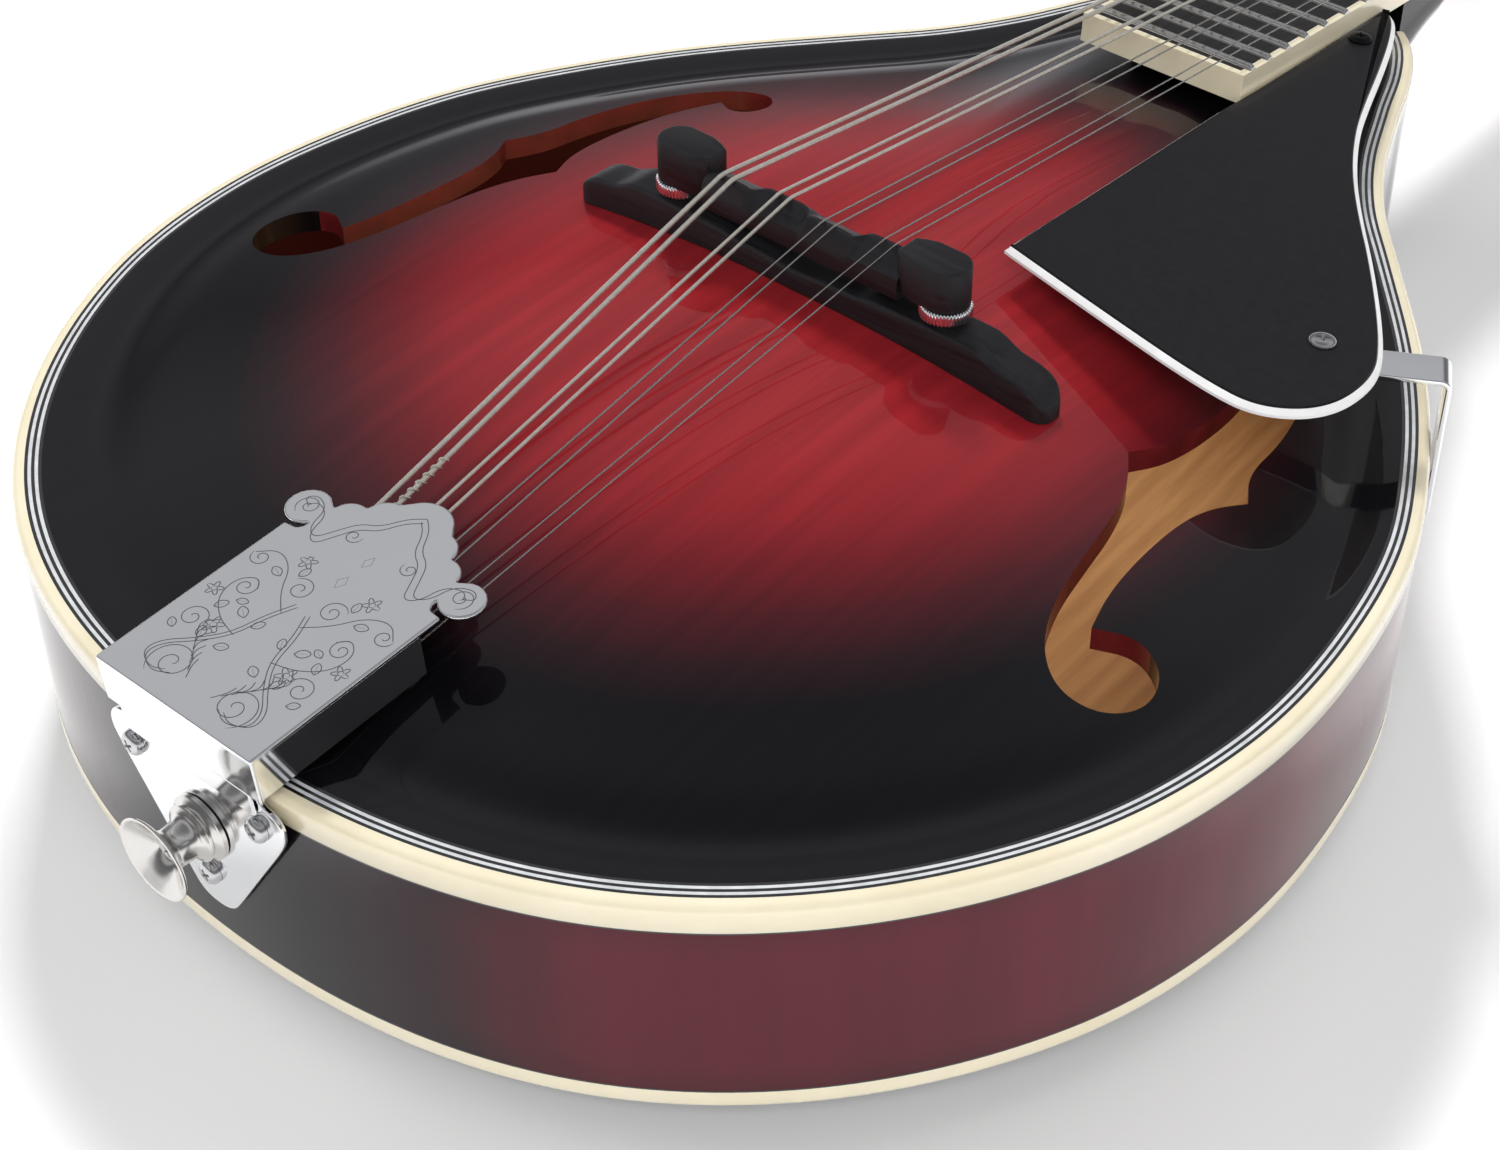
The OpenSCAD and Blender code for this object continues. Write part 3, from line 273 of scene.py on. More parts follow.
def lacquer_side():
    m = Mat("lacquer_side", **LACQUER)
    sep = m.node("SeparateXYZ", {0: m.co})
    tail = m.range(sep.outputs[1], row((0, 0, 0)).y, row((0, 16, 0)).y)
    neck = m.range(sep.outputs[1], row((0, 300, 0)).y, row((0, 232, 0)).y)
    low = m.range(sep.outputs[2], (ZB + BACK_BIND_H - 1) * MM, (ZB + BACK_BIND_H + 7) * MM, 0.72, 1.0)
    high = m.range(sep.outputs[2], (ZT - BIND_H + 1) * MM, (ZT - BIND_H - 6) * MM, 0.78, 1.0)
    k = m.math("MULTIPLY", m.math("MULTIPLY", tail, neck), m.math("MULTIPLY", low, high))
    k = m.math("ADD", k, m.math("MULTIPLY", m.math("SUBTRACT", m.noise(16, 3), 0.5), 0.10))
    col = m.ramp(k, [(0.0, INK), (0.3, (0.018, 0.004, 0.007)), (0.7, (0.062, 0.006, 0.011)), (1.0, (0.092, 0.008, 0.016))], "EASE")
    flame = m.range(m.noise(60, 3, 0.6, (1, 1, 0.12)), 0.35, 0.65, 0.86, 1.08)
    m.set("Base Color", m.mix(1.0, col, m.node("CombineXYZ", {0: flame, 1: flame, 2: flame}).outputs[0], "MULTIPLY"))
    m.bump(m.noise(30, 2, 0.45), 0.05, 0.0010, "Coat Normal")
    return m.m


def lacquer_back():
    m = Mat("lacquer_back", **LACQUER)
    d = burst_distance(m, 0, 150, 124, 150)
    col = m.ramp(d, [(0.0, (0.190, 0.014, 0.026)), (0.55, (0.150, 0.011, 0.022)), (0.8, (0.050, 0.006, 0.011)), (0.95, INK)], "EASE")
    flame = m.range(m.noise(34, 3, 0.6, (0.22, 1, 1)), 0.35, 0.66, 0.72, 1.14)
    m.set("Base Color", m.mix(1.0, col, m.node("CombineXYZ", {0: flame, 1: flame, 2: flame}).outputs[0], "MULTIPLY"))
    m.bump(m.noise(30, 2, 0.45), 0.05, 0.0010, "Coat Normal")
    return m.m


def lacquer_neck():
    m = Mat("lacquer_neck", **LACQUER)
    sep = m.node("SeparateXYZ", {0: m.co})
    k = m.range(sep.outputs[1], row((0, 345, 0)).y, row((0, 400, 0)).y)
    k2 = m.range(sep.outputs[1], row((0, 505, 0)).y, row((0, 462, 0)).y)
    k = m.math("ADD", m.math("MULTIPLY", k, k2), m.math("MULTIPLY", m.math("SUBTRACT", m.noise(30, 3), 0.5), 0.12))
    col = m.ramp(k, [(0.0, INK), (0.4, (0.04, 0.005, 0.010)), (1.0, (0.120, 0.011, 0.021))], "EASE")
    g = m.range(m.noise(300, 2, 0.6, (1, 0.03, 0.6)), 0.35, 0.7, 0.8, 1.1)
    m.set("Base Color", m.mix(1.0, col, m.node("CombineXYZ", {0: g, 1: g, 2: g}).outputs[0], "MULTIPLY"))
    m.bump(m.noise(40, 2), 0.05, 0.0008, "Coat Normal")
    return m.m


def stain_wall():
    m = Mat("fhole_stain", roughness=0.4, coat_weight=0.6, coat_roughness=0.12)
    m.set("Base Color", m.ramp(m.noise(160, 3), [(0.3, (0.085, 0.006, 0.008)), (0.7, (0.15, 0.010, 0.013))]))
    m.bump(m.noise(700, 2), 0.2, 0.0001)
    return m.m


def raw_wood(name, dark, light, stretch):
    m = Mat(name, roughness=0.62)
    rings = m.node("TexWave", {"Vector": m.xyz(stretch), "Scale": 60.0, "Distortion": 3.0, "Detail": 3.0}, wave_type="BANDS")
    grain = m.mix(0.8, rings.outputs[0], m.noise(500, 3, 0.6, stretch))
    m.set("Base Color", m.ramp(grain, [(0.2, dark), (0.8, light)]))
    m.bump(grain, 0.25, 0.0002)
    return m.m


def plastic(name, dark, light, scale, rough, coat=0.6, sub=0.0, bump=0.05, spec=0.5):
    m = Mat(name, roughness=rough, coat_weight=coat, coat_roughness=0.08, specular_ior_level=spec)
    if sub:
        m.set("Subsurface Weight", sub).set("Subsurface Radius", (1.0, 0.7, 0.4)).set("Subsurface Scale", 0.0015)
    m.set("Base Color", m.ramp(m.noise(scale, 4, 0.6), [(0.3, dark), (0.7, light)]))
    m.bump(m.noise(scale * 6, 3), bump, 0.0001)
    return m.m


def ebony(name, rough, stretch, low=(0.0045, 0.0042, 0.0050), high=(0.014, 0.0135, 0.0155), coat=0.0):
    m = Mat(name, roughness=rough, coat_weight=coat, coat_roughness=0.2)
    grain = m.noise(900, 3, 0.65, stretch)
    m.set("Base Color", m.ramp(grain, [(0.35, low), (0.75, high)]))
    m.set("Roughness", m.range(grain, 0.3, 0.7, rough - 0.06, rough + 0.1))
    m.bump(grain, 0.35, 0.00008)
    return m.m


def metal(name, color, rough, wear=0.05, scale=220, stretch=(1, 1, 1), bump=0.02, dirt=0.0):
    m = Mat(name, metallic=1.0)
    n = m.noise(scale, 4, 0.6, stretch)
    m.set("Base Color", m.ramp(n, [(0.3, tuple(c * (1 - wear) for c in color)), (0.7, color)]))
    m.set("Roughness", m.range(n, 0.3, 0.75, rough, rough + 0.07))
    m.bump(m.noise(scale * 4, 2, 0.5, stretch), bump, 0.00005)
    return m.m


M_TOP, M_SIDE, M_BACK, M_NECK, M_WALL = lacquer_top(), lacquer_side(), lacquer_back(), lacquer_neck(), stain_wall()
M_SPRUCE = raw_wood("raw_spruce", (0.50, 0.26, 0.10), (0.72, 0.42, 0.18), (1, 0.05, 1))
M_BLOCK = raw_wood("raw_block", (0.30, 0.15, 0.06), (0.50, 0.29, 0.13), (0.3, 1, 0.08))
M_CREAM = plastic("cream_celluloid", (0.74, 0.66, 0.47), (0.82, 0.75, 0.57), 34, 0.26, 0.9, 0.12)
M_BONE = plastic("bone_plastic", (0.76, 0.71, 0.58), (0.86, 0.82, 0.70), 260, 0.30, 0.5, 0.1)
M_PEARL = plastic("pearl_dot", (0.62, 0.64, 0.62), (0.88, 0.88, 0.84), 420, 0.18, 0.8)
M_WHITE = plastic("white_ply", (0.74, 0.74, 0.73), (0.84, 0.84, 0.83), 140, 0.45, 0.2)
M_LINE = plastic("purfling_white", (0.50, 0.51, 0.52), (0.66, 0.67, 0.68), 300, 0.3, 1.0)
M_INK = plastic("purfling_black", (0.004, 0.004, 0.005), (0.010, 0.010, 0.012), 300, 0.3, 1.0)
M_GUARD = plastic("guard_black", (0.0085, 0.0085, 0.0100), (0.0120, 0.0120, 0.0140), 600, 0.36, 0.12, 0, 0.12, spec=0.12)
M_VENEER = plastic("veneer_black", (0.005, 0.005, 0.006), (0.012, 0.012, 0.014), 400, 0.25, 1.0)
M_EBONY = ebony("ebony_bridge", 0.50, (0.06, 1, 1))
M_BOARD = ebony("ebony_board", 0.42, (1, 0.05, 1), (0.006, 0.0055, 0.006), (0.020, 0.018, 0.018), 0.1)
M_CHROME = metal("chrome_plate", (0.94, 0.95, 0.96), 0.05, 0.03, 60)
# darker metal for the engraved cuts: painted shade in the grooves of the same chrome plate
M_ENGRAVED_SHADE = metal("engraved_cut_painted_shade", (0.42, 0.43, 0.44), 0.22, 0.3, 900)
M_NICKEL = metal("nickel_plate", (0.74, 0.72, 0.69), 0.12, 0.06, 300)
M_SCREW = metal("screw_steel", (0.66, 0.66, 0.67), 0.20, 0.12, 700)
M_BLACKSCREW = metal("black_screw", (0.03, 0.03, 0.032), 0.32, 0.3, 700)
M_STEEL = metal("plain_wire", (0.58, 0.56, 0.53), 0.18, 0.1, 1500, (1, 0.05, 1))
M_FRET = metal("fret_wire", (0.72, 0.71, 0.68), 0.16, 0.1, 500, (0.1, 1, 1))
M_BRASS = metal("gear_brass", (0.70, 0.50, 0.24), 0.24, 0.15, 500)
M_ROD = metal("rod_steel", (0.45, 0.44, 0.43), 0.35, 0.2, 400)


def wound_wire():
    m = Mat("wound_wire", metallic=0.85)
    n = m.noise(900, 2)
    wrap = m.node("TexWave", {"Vector": m.xyz((0.12, 1, 0.12)), "Scale": 900.0, "Distortion": 0.0}, wave_type="BANDS", bands_direction="Y").outputs[0]
    m.set("Base Color", m.ramp(n, [(0.3, (0.78, 0.74, 0.65)), (0.7, (0.90, 0.87, 0.79))]))
    m.set("Roughness", m.range(wrap, 0.0, 1.0, 0.42, 0.30))
    m.bump(wrap, 0.5, 0.00006)
    return m.m


M_WOUND = wound_wire()


# ------------------------------------------------------------ piece builders
def adopt(o, mats, body, nodes, sharp=35):
    """Links a new object, shades it and ties it to the frame."""
    for mt in mats if isinstance(mats, (list, tuple)) else [mats]:
        o.data.materials.append(mt)
    if o.name not in bpy.context.scene.collection.objects:
        bpy.context.scene.collection.objects.link(o)
    if o.type == "MESH":
        for p in o.data.polygons:
            p.use_smooth = True
        o.data.set_sharp_from_angle(angle=math.radians(sharp))
    if nodes:
        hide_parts(*nodes)
    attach(o, body)
    return o


def mesh(name, verts, faces, mats, body="body", nodes=(), sharp=35, index=None, fix=True, metres=False):
    me = bpy.data.meshes.new(name)
    me.from_pydata([v if metres else row(v) for v in verts], [], faces)
    if index:
        for p, k in zip(me.polygons, index):
            p.material_index = k
    if fix:
        bm = bmesh.new()
        bm.from_mesh(me)
        bmesh.ops.remove_doubles(bm, verts=bm.verts, dist=1e-7)
        bmesh.ops.recalc_face_normals(bm, faces=bm.faces)
        bm.to_mesh(me)
        bm.free()
    return adopt(bpy.data.objects.new(name, me), mats, body, nodes, sharp)


def bevel(o, width, seg=2, angle=30):
    b = o.modifiers.new("edge", "BEVEL")
    b.width, b.segments, b.limit_method, b.angle_limit = width * MM, seg, "ANGLE", math.radians(angle)
    b.use_clamp_overlap = True
    b.miter_outer = "MITER_ARC"
    w = o.modifiers.new("normals", "WEIGHTED_NORMAL")
    w.keep_sharp = False
    return o


def refine(node, name, mats, width, seg=2, angle=30, body="body", pick=None):
    """The CAD node's own shape as a new piece, its edges rounded."""
    src = NODE[node]
    bm = bmesh.new()
    bm.from_mesh(src.data)
    bm.transform(src.matrix_world)
    bmesh.ops.remove_doubles(bm, verts=bm.verts, dist=2e-6)
    bmesh.ops.dissolve_limit(bm, angle_limit=math.radians(1.5), verts=bm.verts, edges=bm.edges)
    me = bpy.data.meshes.new(name)
    if pick:
        for f in bm.faces:
            f.material_index = pick(f.calc_center_median() / MM, f.normal)
    bm.to_mesh(me)
    bm.free()
    o = adopt(bpy.data.objects.new(name, me), mats, body, [node], angle)
    if width:
        for p in me.polygons:
            p.use_smooth = True
        bevel(o, width, seg, angle)
    return o


def loft(rows, close_u=False, caps=True):
    """Faces over rows of points, each row a closed section."""
    n, m = len(rows[0]), len(rows)
    verts = [p for r in rows for p in r]
    faces = [(i * n + k, i * n + (k + 1) % n, ((i + 1) % m) * n + (k + 1) % n, ((i + 1) % m) * n + k)
             for i in range(m if close_u else m - 1) for k in range(n)]
    if caps and not close_u:
        faces += [tuple(range(n))[::-1], tuple(range((m - 1) * n, m * n))]
    return verts, faces


def prism(outline, z0, z1, place=lambda x, y, z: (x, y, z)):
    """Closed outline extruded along z, placed by a function."""
    n = len(outline)
    verts = [place(x, y, z) for z in (z0, z1) for x, y in outline]
    faces = [(k, (k + 1) % n, n + (k + 1) % n, n + k) for k in range(n)] + [tuple(range(n))[::-1], tuple(range(n, 2 * n))]
    return verts, faces


def merge(parts):
    verts, faces, index = [], [], []
    for k, (v, f) in enumerate(parts):
        faces += [tuple(i + len(verts) for i in q) for q in f]
        verts += v
        index += [k] * len(f)
    return verts, faces, index


def tube(pts, r, n=12, caps=True):
    """Round tube along points, mm. r is one radius or one for each point."""
    P = [Vector(p) for p in pts]
    rows, u = [], None
    for i, p in enumerate(P):
        t = (P[min(i + 1, len(P) - 1)] - P[max(i - 1, 0)]).normalized()
        if u is None:
            u = (Vector((0, 0, 1)) if abs(t.z) < 0.9 else Vector((1, 0, 0))).cross(t)
        u = (u - t * u.dot(t)).normalized()
        w = t.cross(u)
        rr = r[i] if isinstance(r, list) else r
        rows.append([tuple(p + rr * (math.cos(2 * math.pi * k / n) * u + math.sin(2 * math.pi * k / n) * w)) for k in range(n)])
    return loft(rows, caps=caps)


def lathe(profile, place, n=64):
    """Closed (r, z) section turned about z."""
    rows = [[place(r * math.cos(2 * math.pi * i / n), r * math.sin(2 * math.pi * i / n), z) for r, z in profile] for i in range(n)]
    return loft(rows, close_u=True)


def turns(lo, hi, step):
    k = int(round((hi - lo) / step))
    return [lo + (hi - lo) * i / k for i in range(k + 1)]


def strip(name, prof, lo, hi, mats, nodes, step=1.0):
    v, f = loft([[rp(a, q) for q in prof] for a in turns(lo, hi, step)])
    return mesh(name, v, f, mats, "body", nodes, 40)


def cut(o, tool_parts, crossing=False):
    """Boolean difference, applied to the object's own mesh."""
    v, f, _ = merge(tool_parts)
    me = bpy.data.meshes.new("tool")
    me.from_pydata([row(p) for p in v], [], f)
    bm = bmesh.new()
    bm.from_mesh(me)
    bmesh.ops.recalc_face_normals(bm, faces=bm.faces)
    bm.to_mesh(me)
    bm.free()
    t = bpy.data.objects.new("tool", me)
    bpy.context.scene.collection.objects.link(t)
    b = o.modifiers.new("cut", "BOOLEAN")
    b.object, b.operation, b.solver, b.use_self = t, "DIFFERENCE", "EXACT", crossing
    dg = bpy.context.evaluated_depsgraph_get()
    made = bpy.data.meshes.new_from_object(o.evaluated_get(dg))
    o.modifiers.clear()
    old = o.data
    o.data = made
    bpy.data.meshes.remove(old)
    bpy.data.objects.remove(t)
    bpy.data.meshes.remove(me)
    return o


# ------------------------------------------------------------ body
FH = [(91.5, 112), (91.5, 112), (89, 120), (87.6, 131), (87.3, 144), (89, 151.5), (92.4, 157.3), (92.4, 157.3), (88, 164),
      (87, 176), (83.5, 189), (77, 199.5), (70, 206), (63, 207.5), (58.6, 203.5), (59, 198), (63.6, 195.2), (68.8, 198.2),
      (68.8, 198.2), (72.3, 190), (74.4, 180), (75, 168), (74, 158), (70.8, 151), (70.8, 151), (75.5, 144.5), (78.6, 136),
      (80.6, 126), (83, 114), (87.5, 103.5), (95, 97.2), (103.5, 97.8), (108.2, 104.5), (106, 112.5), (98.5, 116.2)]
S_TOP = [1, 0.985, 0.97, 0.96, 0.95, 0.94, 0.93, 0.92, 0.91, 0.9, 0.885, 0.87, 0.85, 0.83, 0.8, 0.77, 0.73, 0.69, 0.64,
         0.59, 0.53, 0.47, 0.4, 0.33, 0.26, 0.19, 0.12, 0.05]


def plate(low, side, top, pole_lo, pole_hi, step=1.5):
    """Plate from rings: low rows from the pole out, side rows, top rows back in to the pole."""
    A = turns(-180, 180, step)[:-1]
    prof = low + side + top
    rows = [[rp(a, q) for q in prof] for a in A]
    n, m = len(prof), len(A)
    verts = [p for r in rows for p in r] + [(0, CY, pole_lo), (0, CY, pole_hi)]
    faces = []
    for i in range(m):
        j = (i + 1) % m
        faces += [(i * n + k, i * n + k + 1, j * n + k + 1, j * n + k) for k in range(n - 1)]
        faces += [(m * n, i * n, j * n), (i * n + n - 1, m * n + 1, j * n + n - 1)]
    return verts, faces


def build_top():
    low = [(PLATE_IN, s, ZT + arch(s) - PLATE_T) for s in (0.05, 0.15, 0.26, 0.38, 0.5, 0.62, 0.73, 0.82, 0.89, 0.93)]
    side = [(BIND_W + 0.05, 1, ZT - BIND_H), (BIND_W + 0.05, 1, ZT - 1.6), (PLATE_IN, 1, ZT - 1.6)]
    v, f = plate(low, side, [(PLATE_IN, s, ZT + arch(s)) for s in S_TOP], ZT + TOP_ARCH - PLATE_T, ZT + TOP_ARCH)
    o = mesh("top_plate", v, f, [M_TOP, M_WALL, M_SPRUCE], "body", ["soundboard"], 40)
    holes = [prism([(s * x * WK, y) for x, y in smooth(FH, 3)], ZT - 12, ZT + 20) for s in (1, -1)]
    cut(o, holes)
    me = o.data
    for p in me.polygons:
        c = p.center / MM
        inside = math.hypot(c.x, c.y + Y_MID - CY) < 105
        p.material_index = 0 if p.normal.z > 0.5 else 1 if abs(p.normal.z) < 0.4 and inside else 2 if inside else 0
        p.use_smooth = True
    me.set_sharp_from_angle(angle=math.radians(40))
    own = [Vector(c.vector) for c in me.corner_normals]
    seen = {}
    for p in me.polygons:
        if p.normal.z > 0.5:
            for li in p.loop_indices:
                vi = me.loops[li].vertex_index
                if vi not in seen:
                    q = me.vertices[vi].co / MM
                    x, y = q.x, q.y + Y_MID
                    r = math.hypot(x, y - CY)
                    k = 1 - 0.6 / r if r > 1 else 1
                    x, y = x * k, CY + (y - CY) * k
                    g = [(top_z(x + dx, y + dy) - top_z(x - dx, y - dy)) / 1.2 for dx, dy in ((0.6, 0), (0, 0.6))]
                    seen[vi] = Vector((-g[0], -g[1], 1)).normalized()
                own[li] = seen[vi]
    me.normals_split_custom_set(own)
    return o


build_top()
BACK_FACES = 30  # faces in one sector of the back, the outer ones first
S_BACK = [0.05, 0.12, 0.2, 0.27, 0.34, 0.41, 0.48, 0.55, 0.62, 0.68, 0.74, 0.79, 0.83, 0.87, 0.9, 0.92, 0.94, 0.96, 0.98]
v, f = plate([(BIND_W, s, ZB - barch(s)) for s in S_BACK], [(BIND_W + 0.05, 1, ZB), (BIND_W + 0.05, 1, HEEL_Z)],
             [(BIND_W, s, ZB + min(BACK_BIND_H, PLATE_T - barch(s))) for s in (0.93, 0.84, 0.74, 0.62, 0.5, 0.34, 0.2, 0.1)], 0, PLATE_T)
mesh("back_panel", v, f, [M_BACK, M_SPRUCE], "body", ["back_plate"], 40,
     index=[0 if k % BACK_FACES <= len(S_BACK) or k % BACK_FACES == BACK_FACES - 2 else 1 for k in range(len(f))])
rib = [(0, 1, HEEL_Z), (0, 1, ZT - BIND_H), (RIB_T, 1, ZT - BIND_H), (RIB_T, 1, HEEL_Z)]
strip("side_bass", rib, -176, 0, [M_SIDE], ["rib_bass"])
strip("side_treble", rib, 0, 176, [M_SIDE], ["rib_treble"])


def arc(cx, cz, r, a0, a1, n=7):
    return [(cx + r * math.cos(math.radians(a0 + (a1 - a0) * i / n)), 1, cz + r * math.sin(math.radians(a0 + (a1 - a0) * i / n))) for i in range(n + 1)]


R_B = 1.5
strip("binding_top", [(0.05, 1, ZT - BIND_H), (-0.15, 1, ZT - BIND_H + 0.3)] + arc(R_B - 0.15, ZT - R_B, R_B, 180, 90, 9)
      + [(BIND_W, 1, ZT), (BIND_W, 1, ZT - BIND_H)], -173, 173, [M_CREAM], ["top_binding"], 0.75)
strip("binding_back", [(BIND_W, 1, ZB), (BIND_W, 1, HEEL_Z), (0.05, 1, HEEL_Z), (-0.15, 1, HEEL_Z - 0.3)]
      + arc(R_B - 0.15, ZB + R_B, R_B, 180, 270, 9), -174, 174, [M_CREAM], ["back_binding"], 0.75)
lines = []
for i in range(5):
    d0, d1 = BIND_W + i * LINE_W, BIND_W + (i + 1) * LINE_W
    v, f = loft([[rp(a, q) for q in ((d0, 1, ZT - 1.6), (d0, 1, ZT), (d1, 1, ZT), (d1, 1, ZT - 1.6))] for a in turns(-173, 173, 0.75)])
    lines.append((v, f))
v, f, k = merge(lines)
mesh("purfling_lines", v, f, [M_INK, M_LINE], "body", ["purfling"], 30, index=[i % 2 for i in k], fix=False)
# thin dark rule where the side's burst meets each binding
for nm, z in (("rule_top", ZT - BIND_H), ("rule_back", HEEL_Z)):
    v, f = loft([[rp(a, q) for q in ((-0.02, 1, z - 0.22), (-0.02, 1, z + 0.22), (0.3, 1, z + 0.22), (0.3, 1, z - 0.22))] for a in turns(-172, 172, 1)])
    mesh(nm, v, f, [M_INK], "body", (), 40)

for n in ("linings", "tone_bars"):
    NODE[n].data.materials.clear()
    NODE[n].data.materials.append(M_SPRUCE)
for n in ("neck_block", "tail_block"):
    NODE[n].data.materials.clear()
    NODE[n].data.materials.append(M_BLOCK)

# ------------------------------------------------------------ neck and headstock
HEEL_L = 30
BLOCK_LO, BLOCK_H = HEEL_Z, RIM - BIND_H - BACK_BIND_H


def neck_section(y, n=48):
    t = max(0, 1 - y / HEEL_L)
    w = half_w(y)
    d = NECK_D + 2.2 * (NUT_Y - y) / NUT_Y + (ZT - ZB - 3.2 + RISE - NECK_D) * t * t
    e = 1 - 0.25 * min(1, t * 4)
    out = []
    for k in range(n + 1):
        a = math.pi * k / n
        s = max(0.0, math.sin(a))
        x = -w * math.cos(a) * (1 - 0.3 * (1 - y / NUT_Y) * s**3 * t)
        out.append(neck_pt(x, y + t * (0.9 + d * s**e * math.tan(TILT)), -d * s**e))
    return out


v, f = loft([neck_section(y) for y in [i * 1.5 for i in range(21)] + [30 + (NUT_Y + NUT_W - 30) * i / 24 for i in range(1, 25)]])
shaft = mesh("neck_shaft", v, f, [M_NECK], "body", ["neck"], 50)
v, f = prism([(-10.8, JOINT_Y - 25.8), (10.8, JOINT_Y - 25.8), (10.8, JOINT_Y + 4), (-10.8, JOINT_Y + 4)], BLOCK_LO + 4.2, BLOCK_LO + BLOCK_H - 0.4)
bevel(mesh("neck_tenon", v, f, [M_BLOCK], "body", ["neck"]), 0.6)
HEAD = [(14.9, 0), (16.7, 6), (23, 15), (29, 21), (30.5, 30), (31, 60), (32.5, 92), (35, 108), (34, 117), (27, 122), (18, 121), (10, 124), (4, 128), (0, 128)]
half = smooth(HEAD, 2, False)
head_line = [(x, y) for x, y in half] + [(-x, y) for x, y in half[-2::-1]]
POSTS = [(s * 18, 30 + 23 * i) for s in (-1, 1) for i in range(4)]
v, f = prism(head_line, -HEAD_T, 0, head_pt)
head = mesh("headstock", v, f, [M_NECK], "body", ["neck"])
cut(head, [prism([(x + 4.1 * math.cos(a * 0.2618), y + 4.1 * math.sin(a * 0.2618)) for a in range(24)], -20, 5, head_pt) for x, y in POSTS])
for p in head.data.polygons:
    p.use_smooth = True
bevel(head, 1.0, 3, 50)
refine("headstock_veneer", "head_veneer", [M_VENEER], 0.35, 2, 40)
refine("truss_rod_cover", "rod_cover", [M_VENEER, M_WHITE], 0.3, 2, 40)
for n, mt in (("truss_rod", M_ROD), ("truss_rod_nut", M_BRASS)):
    refine(n, n + "_part", [mt], 0.2, 2, 30, "rod_nut" if n.endswith("nut") else "body")
refine("headstock_screws", "head_screws", [M_SCREW], 0.12, 2, 30)

# ------------------------------------------------------------ fretboard, frets, nut
refine("fretboard", "board", [M_BOARD], 0.12, 1, 40)
refine("fretboard_binding", "board_binding", [M_CREAM], 0.45, 3, 40)
parts = []
for n in range(1, FRET_N + 1):
    w, y = half_w(fret_y(n)) - 0.1, fret_y(n)
    xs = [-w, -w + 0.1, -w + 0.3, -w + 0.6, -w + 1.1]
    xs = xs + [-w + 1.1 + (2 * w - 2.2) * i / 6 for i in range(1, 6)] + [-x for x in xs[::-1]]
    rows = []
    for x in xs:
        u = max(0.0, (abs(x) - (w - 1.1)) / 1.1)
        h = max(0.05, math.sqrt(max(0.0, 1 - u * u)))
        rows.append([neck_pt(x, y + 1.05 * math.cos(math.pi * k / 10), BOARD_T - 0.02 + h * math.sin(math.pi * k / 10) ** 0.8) for k in range(11)])
    parts.append(loft(rows))
v, f, k = merge(parts)
mesh("fret_crowns", v, f, [M_FRET], "body", ["frets"], 50)
refine("position_dots", "dots", [M_PEARL, M_INK], 0.1, 1, 40, pick=lambda c, nrm: 1 if abs(c.x) > 12 else 0)
refine("nut", "string_nut", [M_BONE], 0.3, 2, 30)
refine("fretboard_support", "board_support", [M_EBONY], 0.5, 2, 30)


# ------------------------------------------------------------ bridge
def lobe(cx, cy, r, a0, a1, n=14):
    return [(cx + r * math.cos(math.radians(a0 + (a1 - a0) * i / n)), cy + r * math.sin(math.radians(a0 + (a1 - a0) * i / n))) for i in range(n + 1)]


def arch_top(x, y):
    return top_z(x, y)


def bridge_foot():
    H = BRIDGE_LEN / 2
    xs = [-H + 2 * H * i / 150 for i in range(151)]
    xs = [-H, -H + 0.12, -H + 0.4] + xs[1:-1] + [H - 0.4, H - 0.12, H]
    rows = []
    for x in sorted(xs):
        u = abs(x)
        d = 5.2 - 1.4 * u / H
        if u > H - 3.2:
            d *= math.sqrt(max(0.12, 1 - ((u - H + 3.2) / 3.2) ** 2 * 0.88))
        bl, br = arch_top(x, BRIDGE_Y - d) + 0.14, arch_top(x, BRIDGE_Y + d) + 0.14
        b = min(bl, br)
        flat = BZ + 5.4
        if u < 18:
            t = 0.5 - 0.5 * math.cos(math.pi * min(1, max(0, (u - 13) / 5)))
            z = (b + 4.7 + 0.4 * math.cos(math.pi * u / 13 + math.pi)) * (1 - t) + flat * t
            z = min(z, flat)
        elif u < 40:
            z = flat
        else:
            w = (u - 40) / (H - 40)
            drop = flat - b - 6.6
            end = 6.6 + drop * (0.5 + 0.5 * math.cos(math.pi * min(1, w / 0.42)))
            z = b + end * (math.sqrt(max(0.0, 1 - ((w - 0.6) / 0.4) ** 2)) * 0.86 + 0.14 if w > 0.6 else 1)
        r = min(0.7, (z - b) * 0.3)
        rows.append([(x, BRIDGE_Y + q[0], q[1]) for q in
                     ((-d, bl), (-d, (bl + z) / 2), (-d, z - r), (-d + 0.13 * r, z - 0.5 * r), (-d + 0.5 * r, z - 0.13 * r), (-d + r, z),
                      (d - r, z), (d - 0.5 * r, z - 0.13 * r), (d - 0.13 * r, z - 0.5 * r), (d, z - r), (d, (br + z) / 2), (d, br))])
    v, f = loft(rows)
    return mesh("bridge_foot", v, f, [M_EBONY], "body", ["bridge_base"], 40)


bridge_foot()
COMP = [-2.0, 0.3, -1.6, 1.2]


def course_x(i, spread, gap):
    return -spread / 2 + gap / 2 + (i // 2) * (spread - gap) / 3 + (-gap / 2 if i % 2 == 0 else gap / 2)


